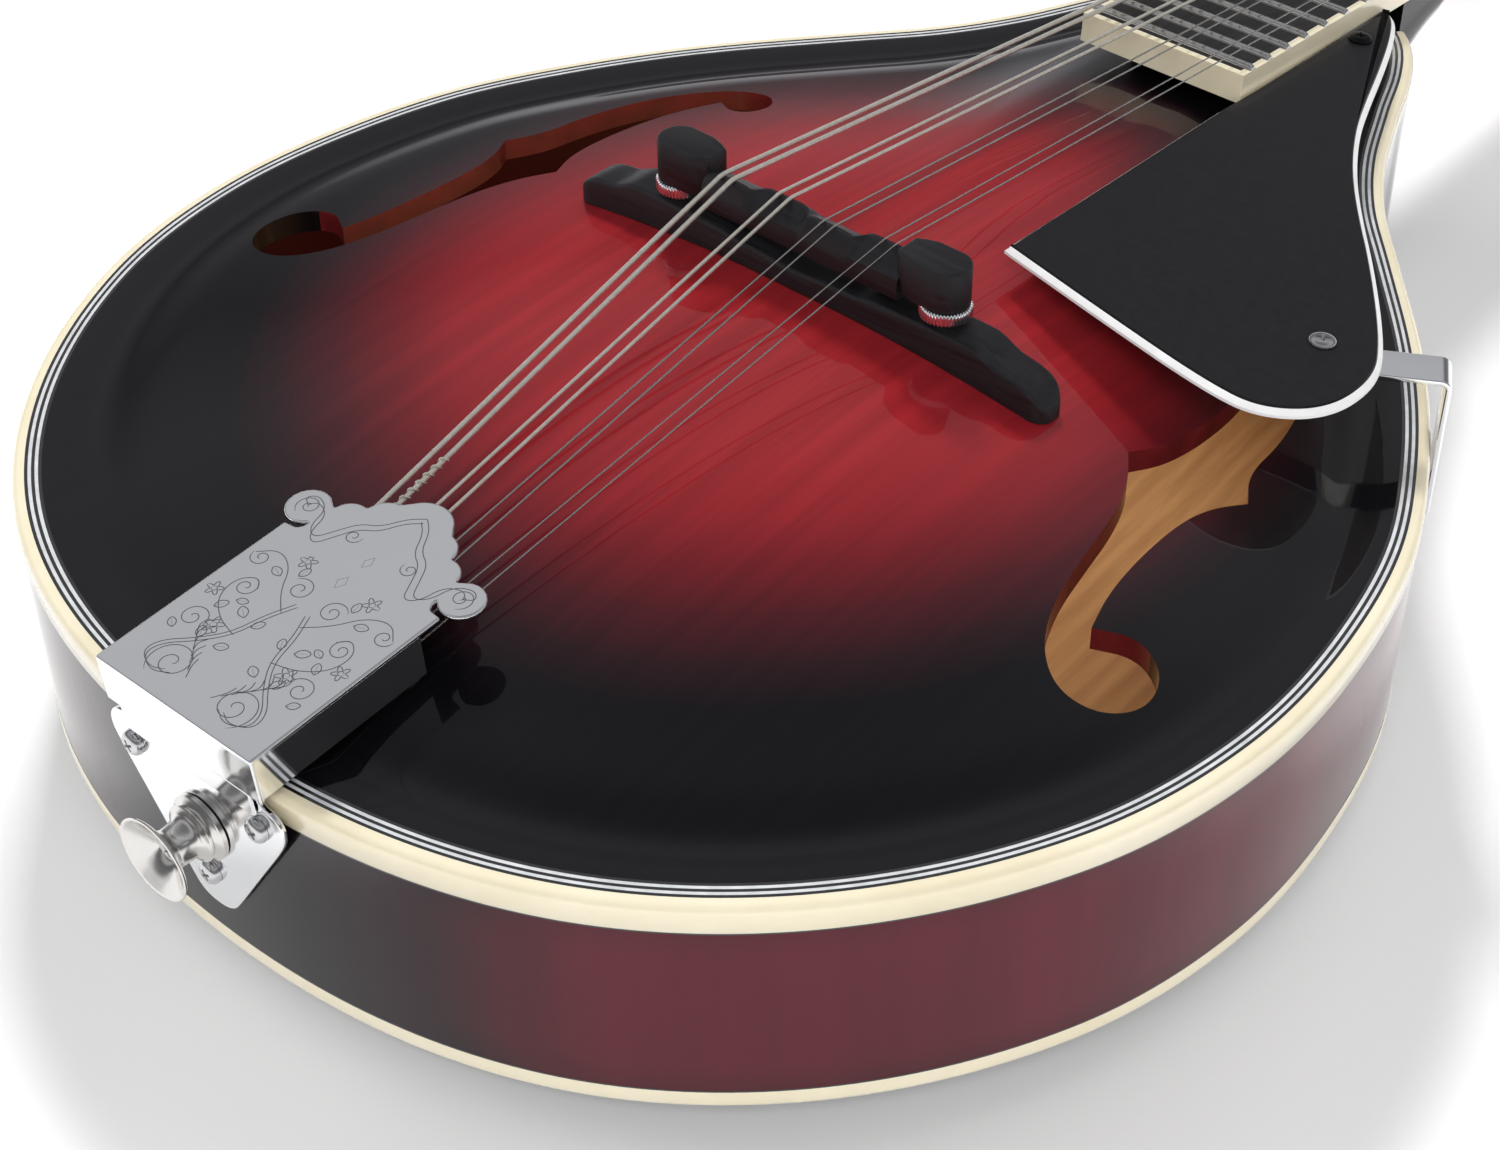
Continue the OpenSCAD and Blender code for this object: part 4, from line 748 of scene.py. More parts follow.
def bridge_top():
    """Saddle: two rounded end blocks, a deep middle wall and a stepped crest."""
    pts = []
    for s in (-1, 1):
        line = [(22.6, -2.6), (24.6, -3.6), (27.0, -4.4)] + lobe(32, 0, 4.5, -80, 80, 20) + [(27.0, 4.4), (24.6, 3.6), (22.6, 2.6)]
        pts.append(prism([(s * x, BRIDGE_Y + y) for x, y in line], SADDLE_Z, SADDLE_Z + 8.5))
    v, f, k = merge(pts)
    o = mesh("saddle_ends", v, f, [M_EBONY], "saddle", ["bridge_saddle"], 30)
    bevel(o, 0.55, 3, 40)
    # blind bores that the studs rise into as the saddle goes down
    cut(o, [prism([(s * POST_GAP / 2 + q[0], BRIDGE_Y + q[1]) for q in lobe(0, 0, 2.1, 0, 345, 23)], SADDLE_Z - 1, SADDLE_Z + 7.8) for s in (-1, 1)])
    for p in o.data.polygons:
        p.use_smooth = True
    o.data.set_sharp_from_angle(angle=math.radians(30))
    # middle wall, thick below and thin at the crest, its crest line stepping for each course
    rows = []
    xs = [-23.6 + 47.2 * i / 236 for i in range(237)]
    for x in xs:
        c = min(3, max(0, int((x + 18.8) / 12.1 + 0.35)))
        mid = [-18.2 + 12.13 * k for k in range(4)]
        # crest offset blends quickly between courses
        off = COMP[0]
        for kk in range(3):
            b = (mid[kk] + mid[kk + 1]) / 2
            t = min(1, max(0, (x - b + 1.1) / 2.2))
            off += (COMP[kk + 1] - COMP[kk]) * t * t * (3 - 2 * t)
        u = min(1, max(0, (abs(x) - 20.6) / 2.6))
        top = CREST_Z - 0.32 - 0.5 * u * u
        for kk in range(3):
            b = (mid[kk] + mid[kk + 1]) / 2
            top -= 0.55 * math.exp(-(((x - b) / 1.5) ** 2))
        y0 = BRIDGE_Y + off
        rows.append([(x, BRIDGE_Y - 3.4, SADDLE_Z - 1.9), (x, BRIDGE_Y - 3.9, SADDLE_Z + 0.6), (x, BRIDGE_Y - 3.7, SADDLE_Z + 2.6),
                     (x, (BRIDGE_Y - 3.4 + y0 - 0.9) / 2 + 0.1, SADDLE_Z + 4.4), (x, y0 - 0.75, top - 0.35), (x, y0 - 0.35, top),
                     (x, y0 + 0.35, top), (x, y0 + 0.75, top - 0.35), (x, (BRIDGE_Y + 3.4 + y0 + 0.9) / 2 - 0.1, SADDLE_Z + 4.4),
                     (x, BRIDGE_Y + 3.7, SADDLE_Z + 2.6), (x, BRIDGE_Y + 3.9, SADDLE_Z + 0.6), (x, BRIDGE_Y + 3.4, SADDLE_Z - 1.9)])
    v, f = loft(rows)
    mesh("saddle_wall", v, f, [M_EBONY], "saddle", ["bridge_saddle"], 32)


bridge_top()
for s, nm in ((-1, "bass"), (1, "treble")):
    teeth, prof = 44, []
    for i in range(teeth):
        for r, q in ((WHEEL_R - 0.4, 0.0), (WHEEL_R - 0.4, 0.3), (WHEEL_R, 0.48), (WHEEL_R, 0.82)):
            a = 2 * math.pi * (i + q) / teeth
            prof.append((r * math.cos(a), r * math.sin(a)))
    rows = []
    z0 = BZ + WHEEL_Z
    for z, k in ((z0, 0.94), (z0 + 0.3, 1.0), (z0 + WHEEL_T - 0.3, 1.0), (z0 + WHEEL_T, 0.94)):
        rows.append([(s * POST_GAP / 2 + x * k, BRIDGE_Y + y * k, z) for x, y in prof])
    ring = [(2.1 * math.cos(2 * math.pi * (i + 0.5) / (4 * teeth)), 2.1 * math.sin(2 * math.pi * (i + 0.5) / (4 * teeth))) for i in range(4 * teeth)]
    rows.append([(s * POST_GAP / 2 + x, BRIDGE_Y + y, z0 + WHEEL_T) for x, y in ring])
    rows.append([(s * POST_GAP / 2 + x, BRIDGE_Y + y, z0) for x, y in ring])
    v, f = loft(rows, close_u=True)
    mesh("wheel_" + nm, v, f, [M_CHROME], "thumbwheel_" + nm, ["thumbwheel_" + nm], 24)
parts = []
for s in (-1, 1):
    rows = []
    for i in range(15 * 12 + 1):
        z, n = BZ + 0.5 + i / 12, 16
        rows.append([(s * POST_GAP / 2 + (1.95 - 0.16 * (0.5 + 0.5 * math.cos(2 * math.pi * (i / 12) - 2 * math.pi * k / n))) * math.cos(2 * math.pi * k / n),
                      BRIDGE_Y + (1.95 - 0.16 * (0.5 + 0.5 * math.cos(2 * math.pi * (i / 12) - 2 * math.pi * k / n))) * math.sin(2 * math.pi * k / n), z) for k in range(n)])
    parts.append(loft(rows))
v, f, k = merge(parts)
mesh("bridge_studs", v, f, [M_NICKEL], "body", ["bridge_posts"], 60)

# ------------------------------------------------------------ tailpiece
COVER_DY, COVER_TOP = -2.6, 1.15 + COVER_H - 1


def cover_pt(x, y, z):
    """Point on the cover: y from its rear edge, z from its top face."""
    return tail_pt(x, y + COVER_DY, COVER_TOP + z)


HW = COVER_W / 2
# right half of the cover's outline, from the rear corner to the front of the crown
COVER_HALF = ([(HW, 0), (HW, COVER_L - 0.6), (HW - 2.6, COVER_L - 0.3), (HW - 3.2, COVER_L + 0.6)]
              + lobe(HW - 0.2, COVER_L + 4.4, 4.1, -140, 112) + lobe(10.8, COVER_L + 6.4, 3.7, 5, 88, 8)
              + lobe(5.9, COVER_L + 9.9, 4.1, 2, 84, 8) + lobe(0, COVER_L + 12.2, 5.9, 34, 90, 8))
outline = COVER_HALF[:-1] + [(-x, y) for x, y in COVER_HALF[::-1]]
v, f = prism(outline, -1.0, 0, cover_pt)
lid = mesh("cover_lid", v, f, [M_CHROME], "cover", ["tailpiece_cover"])
bevel(lid, 0.42, 4, 40)
walls = []
for s in (-1, 1):
    x0, x1 = sorted((s * HW, s * (HW - 0.9)))
    walls.append(prism([(x0, 0.3), (x1, 0.3), (x1, COVER_L - 5), (x0, COVER_L - 5)], -COVER_H + 1.4, -0.55, cover_pt))
walls.append(prism([(-HW, 0), (HW, 0), (HW, 0.9), (-HW, 0.9)], -COVER_H + 1.0, -0.55, cover_pt))
walls.append(prism([(-HW + 3, 0), (HW - 3, 0), (HW - 3, 0.7), (-HW + 3, 0.7)], -COVER_H - 3.9, -COVER_H + 1.2, cover_pt))
v, f, k = merge(walls)
bevel(mesh("cover_walls", v, f, [M_CHROME], "cover", ["tailpiece_cover"]), 0.3, 3, 40)


def spiral(cx, cy, r0, r1, a0, turn, n=26):
    """Points winding in from radius r0 to r1."""
    return [(cx + (r0 + (r1 - r0) * t) * math.cos(math.radians(a0 + turn * t)), cy + (r0 + (r1 - r0) * t) * math.sin(math.radians(a0 + turn * t)))
            for t in [i / n for i in range(n + 1)]]


def curve(*pts):
    return smooth(list(pts), 3, False)


def leaf(x, y, a, size):
    """Small pointed leaf with a vein."""
    c, s = math.cos(math.radians(a)), math.sin(math.radians(a))
    body = [(0, 0), (0.35, 0.34), (0.8, 0.36), (1.25, 0), (0.8, -0.36), (0.35, -0.34), (0, 0)]
    return [[(x + size * (u * c - w * s), y + size * (u * s + w * c)) for u, w in curve(*body)],
            [(x + size * u * c, y + size * u * s) for u in (0.1, 0.9)]]


def flower(x, y, r):
    out = [[(x + 0.32 * r * math.cos(t * 0.6981), y + 0.32 * r * math.sin(t * 0.6981)) for t in range(10)]]
    out.append([(x + r * (0.72 + 0.28 * math.cos(5 * t)) * math.cos(t), y + r * (0.72 + 0.28 * math.cos(5 * t)) * math.sin(t)) for t in [i * 2 * math.pi / 50 for i in range(51)]])
    return out


def scrollwork():
    """A generic foliate pattern, mirrored with small shifts."""
    half = []
    stem = curve((1.2, 26.5), (3.4, 21.5), (4.6, 16), (8.2, 11.5), (12.2, 8.0), (12.8, 4.6), (9.0, 2.8), (6.0, 4.4))
    half.append(stem)
    half.append([(x + 0.7, y + 0.35) for x, y in stem[:-4]])
    half.append(spiral(7.7, 6.2, 4.4, 0.4, -60, 640, 60))
    half.append(spiral(13.0, 14.8, 2.9, 0.35, 200, -560, 48))
    half.append(spiral(4.1, 29.5, 2.6, 0.35, 30, 560, 48))
    half.append(curve((4.6, 16), (9.5, 17.2), (13.6, 20.5), (14.2, 25.0), (11.4, 27.4), (9.6, 25.4)))
    half.append(spiral(11.6, 24.6, 2.3, 0.3, 80, 520, 40))
    half.append(curve((2.4, 24), (6.4, 27.4), (9.2, 32.0), (13.6, 33.8), (16.6, 31.0)))
    half.append(spiral(14.9, 30.7, 2.0, 0.3, 10, -480, 40))
    for k in range(7):
        t = k / 6
        half.append(curve((3.2 + 1.0 * k, 3.2 + 1.2 * k + 2), (4.6 + 1.1 * k, 5.6 + 1.2 * k + 2), (4.8 + 0.7 * k, 9.2 + 1.3 * k)))
    for x, y, a, z in ((5.3, 12.4, 150, 2.3), (8.6, 12.2, 60, 2.4), (6.2, 19.6, 35, 2.4), (3.7, 18.8, 120, 2.1), (12.2, 18.4, 120, 2.2), (9.0, 29.6, 20, 2.3), (6.6, 31.4, 100, 2.1), (13.8, 11.2, 40, 2.0), (10.4, 21.6, 160, 1.9)):
        half += leaf(x, y, a, z)
    half += flower(8.9, 15.6, 1.9) + flower(15.3, 21.2, 1.6) + flower(7.9, 34.6, 1.7)
    # border following the crown
    rim = curve((HW - 0.2, COVER_L + 4.4), (HW + 1.8, COVER_L + 5.6), (HW, COVER_L + 7.2), (HW - 3.4, COVER_L + 5.6), (HW - 4.2, COVER_L + 1.2), (HW - 6.8, COVER_L - 0.6),
                (9.8, COVER_L + 3.2), (8.0, COVER_L + 6.6), (4.8, COVER_L + 8.2), (2.6, COVER_L + 12.2), (0, COVER_L + 14.2))
    half.append(rim)
    half.append([(x * 0.94 - 0.3, y - 1.1) for x, y in rim[8:]])
    half.append(spiral(HW - 0.4, COVER_L + 4.4, 2.4, 0.4, -70, 540, 40))
    half.append(spiral(6.6, COVER_L + 3.9, 1.7, 0.3, 160, 480, 32))
    out = []
    for line in half:
        out.append(line)
        out.append([(-x, y + 0.5 if y < COVER_L - 4 else y) for x, y in line])
    out.append([(0, 33.6), (0.9, 35.2), (0, 36.8), (-0.9, 35.2), (0, 33.6)])
    out.append([(0, COVER_L - 0.5), (0.8, COVER_L + 1), (0, COVER_L + 2.5), (-0.8, COVER_L + 1), (0, COVER_L - 0.5)])
    return out


def ribbon(line, w, z):
    """A shallow V of cut metal: two walls down to the line, as a closed strip."""
    P = [Vector(p) for p in line]
    rows = []
    for i, p in enumerate(P):
        t = P[min(i + 1, len(P) - 1)] - P[max(i - 1, 0)]
        t = Vector((1, 0)) if t.length < 1e-6 else t.normalized()
        nrm = Vector((-t.y, t.x))
        taper = min(1.0, 0.35 + 0.65 * min(i, len(P) - 1 - i) / 3)
        a, b = p + nrm * w * taper, p - nrm * w * taper
        rows.append([cover_pt(a.x, a.y, z), cover_pt(p.x, p.y, z + 0.035), cover_pt(b.x, b.y, z), cover_pt(p.x, p.y, z - 0.1)])
    return loft(rows)


# the cut lines take the darker metal, painted shade in the engraving's grooves, over the modelled V walls
v, f, k = merge([ribbon(line, 0.105, -0.004) for line in scrollwork()])
mesh("cover_engraving", v, f, [M_ENGRAVED_SHADE], "cover", ["tailpiece_cover"], 20, fix=False)

# base plate, bend and shield
SH = [(1.6, -34), (4, -33), (5.6, -31), (13, -19.4), (20.2, -8.4), (21.1, -5.6), (20.6, -3.2), (18.8, -1.8), (16.6, -1.4), (15.5, -0.4), (15.5, 1.3)]
shield = smooth([(x, z) for x, z in SH] + [(-x, z) for x, z in SH[::-1]], 2)
v, f = prism(shield, 0.45, 1.45, lambda x, z, y: (x, -y, ZT + z))
bevel(mesh("tail_shield", v, f, [M_CHROME], "body", ["tailpiece_base"]), 0.3, 3, 40)
v, f = loft([[(x, -1.45 + 0.0, ZT - 0.6), (-x, -1.45, ZT - 0.6), (-x, -0.45, ZT - 0.6), (x, -0.45, ZT - 0.6)] for x in (-15.2,)] + [[(-15.2, -1.45 + 1.2 * (1 - math.cos(math.radians(t))), ZT + 0.3 + 1.2 * math.sin(math.radians(t))),
              (15.2, -1.45 + 1.2 * (1 - math.cos(math.radians(t))), ZT + 0.3 + 1.2 * math.sin(math.radians(t))),
              (15.2, -0.45 + 0.4 * (1 - math.cos(math.radians(t))), ZT + 0.3 + 0.3 * math.sin(math.radians(t))),
              (-15.2, -0.45 + 0.4 * (1 - math.cos(math.radians(t))), ZT + 0.3 + 0.3 * math.sin(math.radians(t)))] for t in range(0, 91, 10)]
            + [[tail_pt(-15, 33, 1), tail_pt(15, 33, 1), tail_pt(15, 33, 0), tail_pt(-15, 33, 0)]])
bevel(mesh("tail_plate", v, f, [M_CHROME], "body", ["tailpiece_base"], 30), 0.2, 2, 50)
hooks = []
for i in range(8):
    x = course_x(i, 26, 3)
    hooks.append(prism([(27, 0.9), (28.2, 0.9), (28.2, 4.9), (24.8, 4.9), (24.8, 4.0), (27, 4.0)], x - 0.6, x + 0.6, lambda y, z, xx: tail_pt(xx, y, z)))
v, f, k = merge(hooks)
bevel(mesh("string_hooks", v, f, [M_NICKEL], "body", ["tailpiece_base"]), 0.25, 2, 40)


def cross_screw(place, r, hr, hh, length, dome=True):
    """Round head with a cross recess, and its shank, as a turned solid cut by two bars."""
    prof = [(0.0001, -length), (r * 0.3, -length + 0.8), (r, -length + 2.4), (r, 0), (hr, 0.0), (hr * 1.0, hh * 0.35), (hr * 0.94, hh * 0.62), (hr * 0.8, hh * 0.84), (hr * 0.58, hh * 0.97), (hr * 0.3, hh), (0.0001, hh)]
    v, f = lathe(prof, place, 40)
    bars = []
    for a in (30, 120):
        c, s = math.cos(math.radians(a)), math.sin(math.radians(a))
        w, l = hr * 0.13, hr * 0.58
        line = [(-l, -w), (l, -w), (l, w), (-l, w)]
        taper = [[place(0.25 * (x * c - y * s), 0.25 * (x * s + y * c), hh * 0.15) for x, y in line], [place(x * c - y * s, x * s + y * c, hh + 0.3) for x, y in line]]
        bars.append(loft(taper))
    return (v, f), bars


def screw_piece(name, places, mats, nodes, body="body", picks=None):
    bodies, bars = [], []
    for args in places:
        b, c = cross_screw(*args)
        bodies.append(b)
        bars += c
    v, f, k = merge(bodies)
    o = mesh(name, v, f, mats, body, nodes, 32)
    cut(o, bars, crossing=True)
    for p in o.data.polygons:
        p.use_smooth = True
    o.data.set_sharp_from_angle(angle=math.radians(32))
    if picks:
        for p in o.data.polygons:
            p.material_index = picks(p.center / MM)
    return o


TS = [(-15, ZT - 6.8), (15, ZT - 6.8), (0, ZT - 26.3)]
screw_piece("tail_screws", [(lambda x, y, z, q=q: (q[0] + x, -1.5 - z, q[1] + y), 1.2, 2.3, 1.6, 12) for q in TS], [M_SCREW], ["tailpiece_screws"])
BUTTON = [(2.1, 0.05), (6.0, 0.05), (6.2, 0.2), (6.2, 1.0), (6.0, 1.2), (5.1, 1.7), (5.0, 1.9), (5.05, 2.1), (5.3, 2.3), (5.3, 2.6), (5.1, 2.8), (4.5, 3.1), (4.45, 3.2), (4.1, 3.45), (3.75, 3.9), (3.6, 4.4), (3.6, 7.0),
          (3.75, 7.45), (4.3, 8.0), (5.6, 8.7), (7.3, 9.55), (7.75, 9.85), (7.9, 10.1), (7.88, 10.3), (7.7, 10.4), (7.45, 10.36), (7.2, 10.2), (5.6, 9.3), (4.0, 8.2), (3.2, 7.4), (2.9, 6.9), (2.85, 6.2), (2.1, 6.2)]
v, f = lathe(BUTTON, lambda x, y, z: (x, -1.5 - z, STRAP_Z + y), 96)
mesh("strap_pin", v, f, [M_NICKEL], "body", ["strap_button"], 40)
screw_piece("strap_screw", [(lambda x, y, z: (x, -1.5 - 6.25 - z, STRAP_Z + y), 1.9, 2.7, 1.3, 26)], [M_SCREW], ["strap_button_screw"])

# ------------------------------------------------------------ pickguard and bracket
PG = [(24.7, -157.5), (24.7, -157.5), (51.6, -164.4), (78, -170.6), (90, -171), (99, -162), (99.5, -147), (93.8, -135), (78.5, -112.8), (64.4, -94.4),
      (55.1, -80.8), (47, -66), (42, -54), (35.4, -36.8), (29.5, -22.6), (24, -12), (19.6, -9), (19.6, -9), (20.6, -72), (20.6, -72)]
guard = smooth(PG, 3)
trim = []
for x, y in guard:
    left = 20.95 + (19.55 - 20.95) * (y + 72) / 64 if y > -72 else 20.95
    trim.append((max(x, left), y))


def inset(line, d):
    """Offset of a closed line inwards, by its corner normals."""
    n = len(line)
    area = sum(line[i][0] * line[(i + 1) % n][1] - line[(i + 1) % n][0] * line[i][1] for i in range(n))
    sg = 1 if area > 0 else -1
    out = []
    for i in range(n):
        a, p, b = Vector(line[i - 1]), Vector(line[i]), Vector(line[(i + 1) % n])
        t1, t2 = (p - a), (b - p)
        t1 = t1.normalized() if t1.length > 1e-6 else (b - p).normalized()
        t2 = t2.normalized() if t2.length > 1e-6 else t1
        nrm = (Vector((-t1.y, t1.x)) + Vector((-t2.y, t2.x)))
        nrm = nrm.normalized() if nrm.length > 1e-6 else Vector((-t1.y, t1.x))
        k = max(0.5, nrm.dot(Vector((-t1.y, t1.x))))
        out.append(tuple(p + nrm * sg * d / k))
    return out


clean = [trim[0]]
for p in trim[1:]:
    if (Vector(p) - Vector(clean[-1])).length > 0.25:
        clean.append(p)
trim = clean
PG_Z = 0.6
rows = [[neck_pt(x, y, z) for x, y in inset(trim, d)] for z, d in ((PG_Z, 0.0), (PG_Z + 0.55, 0.0), (PG_Z + 0.9, 0.3), (PG_Z + 1.3, 0.72), (PG_Z + 1.5, 0.95))]
v, f = loft(rows)
mesh("guard_white", v, f, [M_WHITE], "body", ["pickguard"], 38)
rows = [[neck_pt(x, y, z) for x, y in inset(trim, d)] for z, d in ((PG_Z + 1.48, 0.97), (PG_Z + 1.86, 1.22), (PG_Z + 1.9, 1.34))]
v, f = loft(rows)
mesh("guard_black", v, f, [M_GUARD], "body", ["pickguard"], 12)
BR_A, BR_IN = 118, 22
br_p = edge(BR_A, BR_IN)
br_z = RISE + (JOINT_Y - br_p.y) * math.tan(TILT) + PG_Z - 0.85
br_e = edge(BR_A, -1.4)
br_n = (edge(BR_A, 10) - edge(BR_A, 0)).normalized()
c, s = math.cos(TILT), math.sin(TILT)
PS = [(br_p.x, (br_p.y - JOINT_Y) * c - (br_z - RISE) * s), (24.2, -28.4)]
o = screw_piece("guard_screws", [(lambda x, y, z, q=q: neck_pt(q[0] + x, q[1] + y, PG_Z + 1.95 + z), 1.05, 2.6, 1.1, 4) for q in PS],
                [M_SCREW, M_BLACKSCREW], ["pickguard_screws"], picks=lambda p: 1 if p.x < 40 else 0)
# bent arm: along under the guard, over the rim with a round bend, down the side
t = Vector((-br_n.y, br_n.x))
R = 2.2
path = [(BR_IN + 5.6, br_z - 1.1, 0)]
path += [(-0.4 + R - R * math.sin(math.radians(a)), br_z - R + R * math.cos(math.radians(a)), a) for a in range(0, 91, 9)]
rows = []
for i, q in enumerate([(BR_IN + 5.6, br_z, 0)] + path[1:] + [(-0.4, -15, 90)]):
    u, z, a = q
    nx, nz = math.sin(math.radians(a)), -math.cos(math.radians(a))
    row4 = []
    for side, th in ((-4, 0), (4, 0), (4, 1.1), (-4, 1.1)):
        uu, zz = u + nx * th, z + nz * th
        p = br_e + br_n * uu + t * side
        row4.append((p.x, p.y, ZT + zz))
    rows.append(row4)
v, f = loft(rows)
bevel(mesh("guard_arm", v, f, [M_CHROME], "body", ["pickguard_bracket"], 30), 0.22, 2, 50)
v, f = prism([(19.9, -32.4), (27.9, -32.4), (27.9, -24.4), (19.9, -24.4)], PG_Z - 3, PG_Z - 0.1, neck_pt)
bevel(mesh("guard_block", v, f, [M_EBONY], "body", ["pickguard_bracket"]), 0.4, 2, 40)

# ------------------------------------------------------------ strings
STRING_R = [0.5, 0.5, 0.36, 0.36, 0.2, 0.2, 0.16, 0.16]
POST_OF = [(-1, 0), (-1, 1), (-1, 2), (-1, 3), (1, 3), (1, 2), (1, 1), (1, 0)]


def coil(i, n=40):
    side, k = POST_OF[i]
    R = 3.2 + STRING_R[i] + 0.1
    out = []
    for j in range(int(2.6 * n) + 1):
        a = (0 if side < 0 else math.pi) + (1 if side < 0 else -1) * 2 * math.pi * j / n
        out.append(head_pt(side * 18 + R * math.cos(a), 30 + 23 * k + R * math.sin(a), 6.6 - (2.1 * STRING_R[i] + 0.12) * j / n))
    return out


def string_path(i):
    comp = COMP[i // 2]
    xt, xb, xn = course_x(i, 26, 3), course_x(i, 39, 2.6), course_x(i, 23.5, 2.3)
    loop = [tail_pt(xt, 24.5, 2.2), tail_pt(xt + 0.5, 24.3, 2.2), tail_pt(xt + 1.1, 24.6, 2.2), tail_pt(xt + 1.35, 25.5, 2.2), tail_pt(xt + 1.35, 27, 2.2), tail_pt(xt + 1.2, 28.4, 2.2), tail_pt(xt + 0.6, 29.8, 2.2), tail_pt(xt, 31, 2.2)]
    rise = [(xb, BRIDGE_Y + comp - 0.9, CREST_Z - 0.08), (xb, BRIDGE_Y + comp, CREST_Z), (xb, BRIDGE_Y + comp + 0.9, CREST_Z - 0.03)]
    return loop + rise + [neck_pt(xn, NUT_Y + 0.2, BOARD_T + 1.65), neck_pt(xn, NUT_Y + NUT_W + 0.2, BOARD_T + 1.62)] + coil(i)


def between(a, b, t):
    return tuple(p + (q - p) * t for p, q in zip(a, b))


for name, mt, idx, node, sl in (("strings_low", M_WOUND, range(0, 4), "strings_wound", "bronze_wound"), ("strings_high", M_STEEL, range(4, 8), "strings_plain", "screw_steel")):
    parts = []
    for i in idx:
        path = string_path(i)
        parts.append(tube(path, STRING_R[i], 14))
        # the loop's end is twisted back round the string
        a, b = path[7], path[8]
        span = (Vector(b) - Vector(a)).length
        reach, r = (36 if i == 1 else 14), STRING_R[i]
        beads = []
        turns_n = reach / (2.6 * r + 0.7)
        steps = int(turns_n * 10)
        ax = (Vector(b) - Vector(a)).normalized()
        u = Vector((1, 0, 0))
        u = (u - ax * u.dot(ax)).normalized()
        w = ax.cross(u)
        for j in range(steps + 1):
            t = j / steps
            ang = 2 * math.pi * turns_n * t
            p = Vector(a) + ax * (reach * t)
            beads.append(tuple(p + (r * 1.25) * (math.cos(ang) * u + math.sin(ang) * w)))
        parts.append(tube(beads, r * 0.5, 8))
    v, f, k = merge(parts)
    mesh(name, v, f, [mt], "body", [node], 60, fix=False)

# ------------------------------------------------------------ tuners
for n in ("tuner_plate_bass", "tuner_plate_treble"):
    refine(n, n.replace("tuner_", "gear_"), [M_NICKEL], 0.22, 2, 35)
refine("tuner_bushings", "bushings", [M_NICKEL], 0.2, 2, 35)
refine("gear_screws", "gear_bolts", [M_SCREW], 0.1, 2, 35)


GEAR_Z = -HEAD_T - 1.2 - 1.5 - 1.5


def head_local(p):
    """Row-frame mm point back to headstock coordinates."""
    y, z = p.y + Y_MID - JOINT_Y, p.z - ZT - RISE
    c, s = math.cos(TILT), math.sin(TILT)
    y, z = y * c - z * s - NUT_Y - NUT_W, y * s + z * c
    c, s = math.cos(HEAD_A), math.sin(HEAD_A)
    return Vector((p.x, y * c - z * s, y * s + z * c))


def knob(side, x0, y0, z0):
    """Oval tuner button with a collar, turned and then flattened across its face."""
    prof = [(0.6, 0.0), (2.2, 0.0), (2.55, 0.25), (2.75, 0.8), (2.55, 1.5), (2.35, 2.1), (2.6, 2.7), (3.6, 3.6), (5.0, 4.9), (5.9, 6.6),
            (6.2, 8.4), (6.0, 10.3), (5.2, 12.0), (3.9, 13.2), (2.2, 13.95), (0.6, 14.15)]
    rows = []
    n = 40
    for i in range(n):
        a = 2 * math.pi * i / n
        line = []
        for r, u in prof:
            k = min(1.0, max(0.0, (u - 2.1) / 3.0))
            flat = 1 - 0.42 * k
            line.append(head_pt(x0 + side * u, y0 + r * math.cos(a), z0 + r * math.sin(a) * flat))
        rows.append(line)
    return loft(rows, close_u=True)


for s, c in ((-1, "b"), (1, "t")):
    for k in range(4):
        key = "%s%d" % (c, k + 1)
        refine("tuner_post_" + key, "post_" + key, [M_SCREW, M_BRASS], 0.09, 1, 40, "tuner_post_" + key,
               pick=lambda p, nrm: 1 if head_local(p).z < GEAR_Z + 1.6 else 0)
        x, y = s * 18, 30 + 23 * k - 8.6
        rod, gear = [], []
        for a0, a1, r in ((4.7, 7.6, 1.3), (-7.6, -4.7, 1.3), (s * 7.4, s * 20.6, 1.3)):
            a0, a1 = sorted((a0, a1))
            rod.append(tube([head_pt(x + u, y, GEAR_Z) for u in (a0, a0 + 0.15, a1 - 0.15, a1)], [r * 0.9, r, r, r * 0.9], 24))
        pitch, n, rows = 2 * math.pi * 5.55 / 16, 20, []
        for i in range(121):
            z = -4.8 + 9.6 * i / 120
            e = min(1, min(i, 120 - i) / 12)
            line = []
            for j in range(n):
                u = (z / pitch - j / n + 0.36) % 1
                r = 2.75 if u < 0.22 else 2.75 - (u - 0.22) / 0.18 if u < 0.4 else 1.75 if u < 0.82 else 1.75 + (u - 0.82) / 0.18
                r = 1.75 + (r - 1.75) * e
                a = 2 * math.pi * j / n
                line.append(head_pt(x + z, y + r * math.sin(a), GEAR_Z - r * math.cos(a + math.pi)))
            rows.append(line)
        v1, f1, i1 = merge([loft(rows)] + rod)
        v2, f2 = knob(s, x + s * 20.2, y, GEAR_Z)
        vv, ff, ii = merge([(v1, f1), (v2, f2)])
        index = [0 if q < len(f1) and i1[q] == 0 else 1 if q < len(f1) else 2 for q in range(len(ff))]
        mesh("button_" + key, vv, ff, [M_BRASS, M_SCREW, M_BONE], "tuner_button_" + key, ["tuner_button_" + key], 40, index=index)

# ------------------------------------------------------------ floor, light, camera
bm = bmesh.new()
bmesh.ops.create_grid(bm, x_segments=8, y_segments=8, size=4.0)
fm = bpy.data.meshes.new("floor")
bm.to_mesh(fm)
bm.free()
floor = bpy.data.objects.new("floor", fm)
bpy.context.scene.collection.objects.link(floor)
floor.location = (0, 0, -0.0002)
paper = Mat("paper", roughness=0.75)
paper.set("Base Color", paper.ramp(paper.noise(3, 2), [(0.3, (0.90, 0.90, 0.90)), (0.7, (0.93, 0.93, 0.93))]))
fm.materials.append(paper.m)

